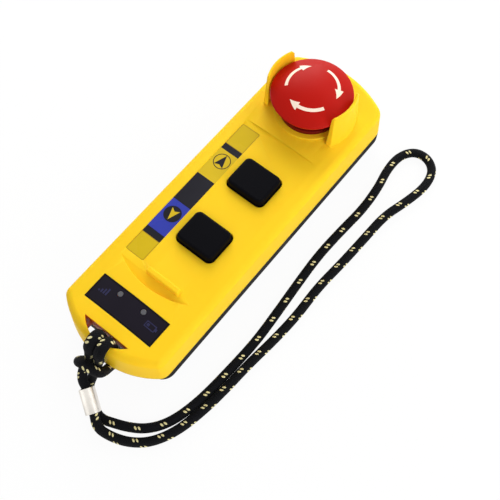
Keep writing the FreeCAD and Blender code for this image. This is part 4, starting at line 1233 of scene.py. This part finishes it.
@dataclass
class StopButton:
    """The red mushroom with its turning arrows, and the parts that hold it.

    The collar's outline is (radius, height) in millimetres, and the arrows' sweeps and tip are in degrees.
    """

    axis: Spot = (0.0, 62.3 * MM)
    radius: float = 20 * MM
    ring: float = 45 * MM
    edge: float = 1.2 * MM
    bend: float = 36 * MM
    undercut: float = 1.6 * MM
    rim_foot: float = 41.6 * MM
    roof: float = 43.7 * MM
    skirt: float = 3.6 * MM
    neck: float = 8.5 * MM
    neck_foot: float = 33.1 * MM
    bore: float = 4.06 * MM
    bore_top: float = 43.8 * MM
    head_segments: int = 144
    head_angle: float = 32.0
    travel: float = 4 * MM
    arrows: int = 3
    arrow_radius: float = 12.5 * MM
    arrow_width: float = 1.5 * MM
    arrow_sweep: float = 59.0
    head_sweep: float = 23.5
    head_width: float = 4.1 * MM
    arrow_tip: float = 129.2
    tip_half: float = 0.02 * MM
    ink_lift: float = 0.05 * MM
    ink_drop: float = 3.0
    print_angle: float = 40.0
    collar: tuple[Spot, ...] = (
        (14.0, 33.3), (15.4, 33.3), (15.4, 35.1), (15.25, 35.45), (14.9, 35.6), (9.0, 35.6), (9.0, 35.52),
        (14.0, 35.52),
    )
    collar_segments: int = 96
    collar_angle: float = 40.0
    flange_from: float = 15.5 * MM
    flange_drawn: float = 2.2 * MM
    flange_angle: float = 30.0
    screw: Screw = field(default_factory=lambda: Screw("terminal_screw", 1.76, 1.1, 0, 0, Drive.SLOT, True))
    screw_places: tuple[Point, ...] = ((-6.5, 52.1, 15), (-6.5, 72.5, 15), (6.5, 52.1, 15), (6.5, 72.5, 15))

    def build(self) -> None:
        """Makes the head and its arrows and finishes the rest."""
        shape = spun(self.outline(), self.head_segments, self.axis)
        head = finished_object("stop_head", mesh_from("stop_head", shape, self.head_angle), Palette.STOP)
        replace_node(head, "estop_head", Body.CAP)
        self.build_arrows()
        self.build_collar()
        finish_nodes(Palette.STEEL, "estop_stem")
        self.draw_in("estop_bush", Palette.BUSH)
        self.draw_in("estop_seal", Palette.RUBBER)
        finish_nodes(Palette.BUSH, "estop_nut", "estop_contact_block")
        seat_spring("estop_spring")
        self.screw.drive("terminal_screws", self.screw_places)

    def outline(self) -> list[Spot]:
        """The head's outline from the underside bore round to the top of its dome.

        Returns:
            The points (radius, height).
        """
        low_steps, top_steps, dome_steps = 6, 10, 20
        half_edge, lip, inner = self.edge / 2, self.radius - self.undercut, self.radius - self.edge
        low_round = arc_points((lip - half_edge, self.rim_foot + half_edge), half_edge, -90, 0, low_steps)
        lean = math.degrees(math.acos(inner / (self.bend - self.edge)))
        top_round = arc_points((inner, self.ring), self.edge, 0, lean, top_steps)
        wide = self.bend * math.cos(math.radians(lean))
        radii = [wide * (1 - step / dome_steps) for step in range(1, dome_steps + 1)]
        wall = self.radius - self.skirt
        underside = [
            (0, self.bore_top), (self.bore, self.bore_top), (self.bore, self.neck_foot),
            (self.neck, self.neck_foot), (self.neck, self.roof), (wall, self.roof), (wall, self.rim_foot),
        ]
        return underside + low_round + top_round + [(radius, self.dome_height(radius)) for radius in radii]

    def dome_height(self, radius: float) -> float:
        """The height of the dome's surface at a distance from its axis.

        Args:
            radius: The distance.

        Returns:
            The height.
        """
        inner, reach = self.radius - self.edge, self.bend - self.edge
        centre = self.ring - math.sqrt(reach * reach - inner * inner)
        return centre + math.sqrt(self.bend * self.bend - radius * radius)

    def build_collar(self) -> None:
        """Fits a red cover ring over the bush's flange, its red darkened as painted shade under the
        mushroom's rim.
        """
        outline = [(radius * MM, height * MM) for radius, height in self.collar + self.collar[:1]]
        shape = spun(outline, self.collar_segments, self.axis)
        add_piece("stop_collar", shape, Palette.COLLAR_PAINTED_SHADE, Body.HOUSING, self.collar_angle)

    def draw_in(self, node: str, finish: Finish) -> None:
        """Draws the edge of the bush's flange, or of the seal below it, in under the cover ring.

        Args:
            node: The CAD node.
            finish: Its finish.
        """
        ring = smooth_copy(node, finish, self.flange_angle)
        for vertex in ring.data.vertices:
            reach = vertex.co.xy - Vector(self.axis)
            if reach.length > self.flange_from:
                vertex.co.xy -= reach.normalized() * self.flange_drawn
        replace_node(ring, node, Body.HOUSING)

    def build_arrows(self) -> None:
        """Prints the arrows that show which way the head turns."""
        arrows = turned_copies().run("stop_arrows", self.arrow_mesh(), {
            "Copies": self.arrows, "Centre": (*self.axis, 0.0), "Finish": Palette.STOP_ARROW.material(),
        })
        add_to_body(arrows, Body.CAP)

    def arrow_rows(self) -> list[Spot]:
        """The angle in degrees and the half width of each step along one arrow.

        Returns:
            The steps, from the arrow's tail to its tip.
        """
        steps, head_steps = 24, 8
        tail = self.arrow_tip + self.head_sweep + self.arrow_sweep
        rows = [(tail - self.arrow_sweep * step / steps, self.arrow_width / 2) for step in range(steps + 1)]
        for step in range(head_steps + 1):
            part = step / head_steps
            rows.append((self.arrow_tip + self.head_sweep * (1 - part), self.head_width / 2 * (1 - part)))
        return rows

    def arrow_mesh(self) -> Mesh:
        """Makes one bent arrow that lies on the dome.

        Returns:
            The arrow's mesh, round the upright axis of the origin.
        """
        shape = bmesh.new()
        across = 4
        grid = []
        for angle, half in self.arrow_rows():
            turn = math.radians(angle)
            row = []
            for column in range(across + 1):
                radius = self.arrow_radius + max(half, self.tip_half) * (2 * column / across - 1)
                height = self.dome_height(radius) + self.ink_lift
                row.append(shape.verts.new((radius * math.cos(turn), radius * math.sin(turn), height)))
            grid.append(row)
        for row, following in zip(grid, grid[1:]):
            for column in range(across):
                shape.faces.new((row[column], following[column], following[column + 1], row[column + 1]))
        bmesh.ops.recalc_face_normals(shape, faces=shape.faces)
        if sum(face.normal.z for face in shape.faces) < 0:
            bmesh.ops.reverse_faces(shape, faces=shape.faces)
        edge = [item for item in shape.edges if item.is_boundary]
        skirt = bmesh.ops.extrude_edge_only(shape, edges=edge)["geom"]
        drop = [item for item in skirt if isinstance(item, bmesh.types.BMVert)]
        bmesh.ops.translate(shape, verts=drop, vec=(0, 0, -self.ink_drop * self.ink_lift))
        return mesh_from("stop_arrow", shape, self.print_angle)


@dataclass
class Electronics:
    """The board with its parts, and the cells in their bay."""

    screw: Screw = field(default_factory=lambda: Screw("board_screw", 2.0, 1.3, 1.0, 5.0, Drive.CROSS))
    screw_places: tuple[Point, ...] = (
        (-21.4, 32, 20.6), (21.4, 32, 20.6), (-21.4, -57, 20.6), (21.4, -57, 20.6),
    )

    def build(self) -> None:
        """Finishes the inner nodes and drives the board's screws."""
        finish_nodes(Palette.BOARD, "main_board")
        finish_nodes(Palette.CHIP, "controller_chip")
        self.screw.drive("board_screws", self.screw_places)
        finish_nodes(Palette.STEEL, "radio_module", "aerial", "battery_plates", "battery_leaves")
        finish_nodes(Palette.CELL, "batteries")


@dataclass
class Lanyard:
    """The braided wrist cord, hitched round the end wall, with its crimped sleeve.

    The route's points are in millimetres, in the order in which the cord runs.
    """

    diameter: float = 4.5 * MM
    sides: int = 20
    step: float = 0.7 * MM
    cord_angle: float = 60.0
    spline_order: int = 3
    spline_steps: int = 16
    wall_y: float = -91.0 * MM
    wall_z: float = 31.0 * MM
    flat_reach: float = 8.0 * MM
    flat_share: float = 0.26
    flat_ramp: float = 2.0
    flat_thinning: float = 0.6
    least_across: float = 0.1
    crimp_angle: float = 30.0
    crimp_across: Point = (0.565, 0.8237, 0.0491)
    crimp_spread: float = 1.2 * MM
    crimp_entry: tuple[Point, ...] = ((7.83, -107.96, 5.91), (12.25, -110.88, 3.94))
    hand_loop: tuple[Point, ...] = (
        (16.6, -111.4, 2.9), (20.8, -109.8, 2.5), (27.4, -107, 2.25), (34.4, -102.6, 2.25),
        (39.9, -95.6, 2.25), (43.3, -86.4, 2.25), (45.5, -74.2, 2.25), (46.65, -58, 2.25), (47.5, -40, 2.25),
        (46.4, -22, 2.25), (45, -4, 2.25), (43.9, 14, 2.25), (44.7, 32, 2.25), (46, 48, 2.25), (45, 63, 2.25),
        (42.5, 75, 2.25), (42.8, 85.5, 2.25), (47.6, 92.6, 2.25), (55.2, 93.4, 2.25), (61.6, 88.6, 2.25),
        (63.4, 78.2, 2.25), (60.3, 64, 2.25), (56.7, 52, 2.25), (56.1, 36, 2.25), (55.3, 18, 2.25),
        (53.8, 0, 2.25), (54.6, -17, 2.25), (53.6, -34, 2.25), (51.6, -51, 2.25), (50.7, -67, 2.25),
        (48.9, -82, 2.25), (45.8, -95.2, 2.25), (40.3, -105.4, 2.25), (33, -111.5, 2.35), (24.8, -114.8, 3.1),
        (18, -115.8, 5.9),
    )
    crimp_pass: tuple[Point, ...] = ((13.45, -111.96, 8.25), (4.45, -106.02, 12.26))
    hitch: tuple[Point, ...] = (
        (0.9, -105, 14.5), (-1.2, -101.4, 17.6), (-0.7, -96.8, 21.8), (-0.4, -95, 28.3), (-0.45, -94.8, 33),
        (-0.5, -92.35, 35.45), (-0.85, -89.1, 35.45), (-0.9, -86.65, 33), (-0.9, -86.7, 27),
        (-1.4, -86.7, 18.8), (-2.2, -86.75, 12.1), (-2.9, -89.5, 9.5), (-4.0, -95.6, 9.8),
        (-4.4, -98.6, 16.9), (-3.2, -100.9, 24.1), (0.3, -100.9, 27.5), (4.5, -100.4, 27.2),
        (7.6, -98.9, 22.8), (7, -95.9, 17.2), (5.4, -92.9, 11.6), (5.5, -89.7, 10.1), (5.1, -86.85, 12.9),
        (4.6, -86.7, 18.8), (4.5, -86.7, 27), (4.5, -86.65, 33), (4.75, -89.1, 35.45), (5.15, -92.3, 35.45),
        (5.3, -94.7, 33), (5, -94.9, 28.3), (3.6, -95.7, 21.6), (2.9, -98.5, 15), (2.4, -101.6, 10.3),
    )
    crimp_exit: tuple[Point, ...] = ((3.25, -104.94, 7.95), (7.67, -107.85, 5.98))

    def build(self) -> None:
        """Makes the cord and its sleeve."""
        line = self.centre_line()
        cord = finished_object("lanyard", self.tube(line), Palette.CORD)
        crimp = smooth_copy("lanyard_crimp", Palette.CRIMP, self.crimp_angle)
        self.spread_crimp(crimp.data)
        replace_node(crimp, "lanyard_crimp", Body.HOUSING)
        replace_node(cord, "lanyard_cord", Body.HOUSING)

    def spread_crimp(self, mesh: Mesh) -> None:
        """Spreads the pressed sleeve across the strands, away from the hand loop.

        Args:
            mesh: The sleeve's mesh.
        """
        across = Vector(self.crimp_across)
        places = [vertex.co.dot(across) for vertex in mesh.vertices]
        near, far = min(places), max(places)
        for vertex, place in zip(mesh.vertices, places):
            vertex.co -= across * self.crimp_spread * (far - place) / (far - near)

    def centre_line(self) -> list[Vector]:
        """The cord's smooth line: a spline with the route's points as its control points.

        Returns:
            Points along the line, evenly spaced.
        """
        route = self.crimp_entry + self.hand_loop + self.crimp_pass + self.hitch + self.crimp_exit
        curve = bpy.data.curves.new("lanyard_line", "CURVE")
        curve.dimensions = "3D"
        spline = curve.splines.new("NURBS")
        spline.points.add(len(route) - 1)
        for point, place in zip(spline.points, route):
            point.co = (*(Vector(place) * MM), 1.0)
        spline.order_u = self.spline_order
        spline.use_endpoint_u = True
        spline.resolution_u = self.spline_steps
        guide = placed("lanyard_line", curve)
        mesh = evaluated_mesh(guide)
        points = [vertex.co.copy() for vertex in mesh.vertices]
        bpy.data.objects.remove(guide)
        bpy.data.meshes.remove(mesh)
        return self.even_steps(points)

    def even_steps(self, points: list[Vector]) -> list[Vector]:
        """Spaces points evenly along the line that they were read from.

        Args:
            points: Points of the line, in order.

        Returns:
            Evenly spaced points with both ends kept.
        """
        reach = [0.0]
        for before, after in zip(points, points[1:]):
            reach.append(reach[-1] + (after - before).length)
        count = round(reach[-1] / self.step)
        spaced, index = [], 0
        for number in range(count + 1):
            target = reach[-1] * number / count
            while index < len(points) - 2 and reach[index + 1] < target:
                index += 1
            span = reach[index + 1] - reach[index]
            part = (target - reach[index]) / span if span > 0 else 0.0
            spaced.append(points[index].lerp(points[index + 1], min(part, 1.0)))
        return spaced

    def flattened(self, point: Vector, towards: Vector, out: Vector) -> Vector:
        """Spreads the limp braid sideways where it bears on the end wall.

        Args:
            point: A point of the centre line.
            towards: The line's direction there.
            out: A unit vector from the line to the round cord's surface.

        Returns:
            The vector to the flattened surface, in radii.
        """
        away = math.hypot(point.y - self.wall_y, point.z - self.wall_z)
        share = self.flat_share * max(0.0, min(1.0, self.flat_ramp * (1 - away / self.flat_reach)))
        across = Vector((1, 0, 0)) - towards * towards.x
        if share == 0 or across.length < self.least_across:
            return out
        across.normalize()
        sideways = across * out.dot(across)
        return sideways * (1 + share) + (out - sideways) * (1 - share * self.flat_thinning)

    def tube(self, line: list[Vector]) -> Mesh:
        """Wraps a tube round the line, with a map in millimetres along and turns around.

        Args:
            line: Evenly spaced points.

        Returns:
            The closed tube's mesh.
        """
        shape = bmesh.new()
        layer = shape.loops.layers.uv.new("braid")
        side = Vector((0, 0, 1))
        rings, spacing = [], (line[1] - line[0]).length / MM
        for index, point in enumerate(line):
            towards = (line[min(index + 1, len(line) - 1)] - line[max(index - 1, 0)]).normalized()
            side = (side - towards * side.dot(towards)).normalized()
            other = towards.cross(side)
            ring = []
            for number in range(self.sides):
                angle = FULL_TURN * number / self.sides
                out = side * math.cos(angle) + other * math.sin(angle)
                ring.append(shape.verts.new(point + self.flattened(point, towards, out) * self.diameter / 2))
            rings.append(ring)
        for index, (ring, following) in enumerate(zip(rings, rings[1:])):
            for number in range(self.sides):
                after = (number + 1) % self.sides
                face = shape.faces.new((ring[number], ring[after], following[after], following[number]))
                corners = ((index, number), (index, number + 1), (index + 1, number + 1), (index + 1, number))
                for loop, (row, column) in zip(face.loops, corners):
                    loop[layer].uv = (row * spacing, column / self.sides)
        shape.faces.new(reversed(rings[0]))
        shape.faces.new(rings[-1])
        return mesh_from("lanyard", shape, self.cord_angle)


def facing(place: Vector, back: Vector) -> Matrix:
    """The matrix of a lamp or camera whose back points along a direction."""
    return Matrix.Translation(place) @ back.to_track_quat("Z", "Y").to_matrix().to_4x4()


@dataclass
class Studio:
    """A pale floor, soft light and the photograph's camera.

    The eye and target are in millimetres. Each lamp has its name, its place and side in metres and its watts.
    """

    eye: Point = (121.5, -136.4, 372.2)
    target: Point = (23.79, -14.5, 29.86)
    lens: float = 59.63
    sensor: float = 36.0
    nearest: float = 0.01
    floor_size: float = 3.0
    floor_drop: float = 0.05 * MM
    floor_tone: Colour = (0.94, 0.94, 0.94, 1.0)
    floor_roughness: float = 0.9
    floor_specular: float = 0.1
    sky: float = 0.36
    shadow_share: float = 0.06
    lamps: tuple[tuple[str, Point, float, float], ...] = (
        ("head_lamp", (0.22, 0.55, 0.5), 0.45, 1.6),
        ("right_lamp", (0.95, -0.2, 0.45), 0.9, 7.2),
        ("foot_lamp", (-0.1, -1.0, 0.42), 1.0, 1.8),
        ("left_lamp", (-0.5, 0.6, 0.45), 0.6, 6.4),
    )

    def build(self) -> None:
        """Sets the stage."""
        self.build_floor()
        self.build_world()
        for name, place, width, power in self.lamps:
            self.build_lamp(name, Vector(place), width, power)
        self.build_camera()
        bpy.context.scene.view_settings.view_transform = "Standard"

    def build_floor(self) -> None:
        """Lays the floor, plain white to the camera where no shadow falls."""
        shape = bmesh.new()
        level = Matrix.Translation((0, 0, -self.floor_drop))
        bmesh.ops.create_grid(shape, x_segments=1, y_segments=1, size=self.floor_size / 2, matrix=level)
        material, bench, shader = new_material("floor_white")
        bench.fill(shader, {
            "Base Color": self.floor_tone, "Roughness": self.floor_roughness,
            "Specular IOR Level": self.floor_specular,
        })
        white = bench.add("ShaderNodeEmission", {"Color": WHITE, "Strength": 1.0})
        share = bench.math("MULTIPLY", self.shown_white(bench), 1 - self.shadow_share)
        mixed = bench.add("ShaderNodeMixShader", {0: share, 1: shader.outputs[0], 2: white.outputs[0]})
        bench.fill(material.node_tree.nodes["Material Output"], {"Surface": mixed.outputs[0]})
        floor = placed("floor", mesh_from("floor", shape))
        floor.data.materials.append(material)

    def build_world(self) -> None:
        """Lights the scene evenly from all round, before a backdrop that is seen as white."""
        world = bpy.data.worlds.new("studio")
        bpy.context.scene.world = world
        world.use_nodes = True
        bench = NodeBench(world.node_tree)
        strength = bench.math("MULTIPLY_ADD", self.shown_white(bench), 1 - self.sky, self.sky)
        bench.fill(world.node_tree.nodes["Background"], {"Color": WHITE, "Strength": strength})

    def shown_white(self, bench: NodeBench) -> Socket:
        """Tells which rays see a white background: those of the camera, of mirrors and of glass.

        Args:
            bench: The bench of the floor's or the world's tree.

        Returns:
            The value, 1 for those rays.
        """
        path = bench.add("ShaderNodeLightPath").outputs
        seen = bench.math("MAXIMUM", path["Is Camera Ray"], path["Is Glossy Ray"])
        return bench.math("MAXIMUM", seen, path["Is Transmission Ray"])

    def build_lamp(self, name: str, place: Vector, width: float, power: float) -> None:
        """Hangs a square soft light that faces the object.

        Args:
            name: The lamp's name.
            place: Where it hangs.
            width: Its side length.
            power: Its power in watts.
        """
        data = bpy.data.lights.new(name, "AREA")
        data.size = width
        data.energy = power
        placed(name, data).matrix_world = facing(place, place)

    def build_camera(self) -> None:
        """Sets the camera to the photograph's view."""
        data = bpy.data.cameras.new("camera")
        data.lens = self.lens
        data.sensor_width = self.sensor
        data.clip_start = self.nearest
        camera = placed("camera", data)
        eye, target = Vector(self.eye) * MM, Vector(self.target) * MM
        camera.matrix_world = facing(eye, eye - target)
        bpy.context.scene.camera = camera


def main() -> None:
    """Builds every sub-assembly in order."""
    logging.basicConfig(level=logging.INFO, format="%(name)s: %(message)s")
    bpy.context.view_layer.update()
    for part in (Studio(), Lanyard(), Case(), Keypad(), LampFilm(), StopButton(), Electronics()):
        part.build()


if __name__ == "__main__":
    main()
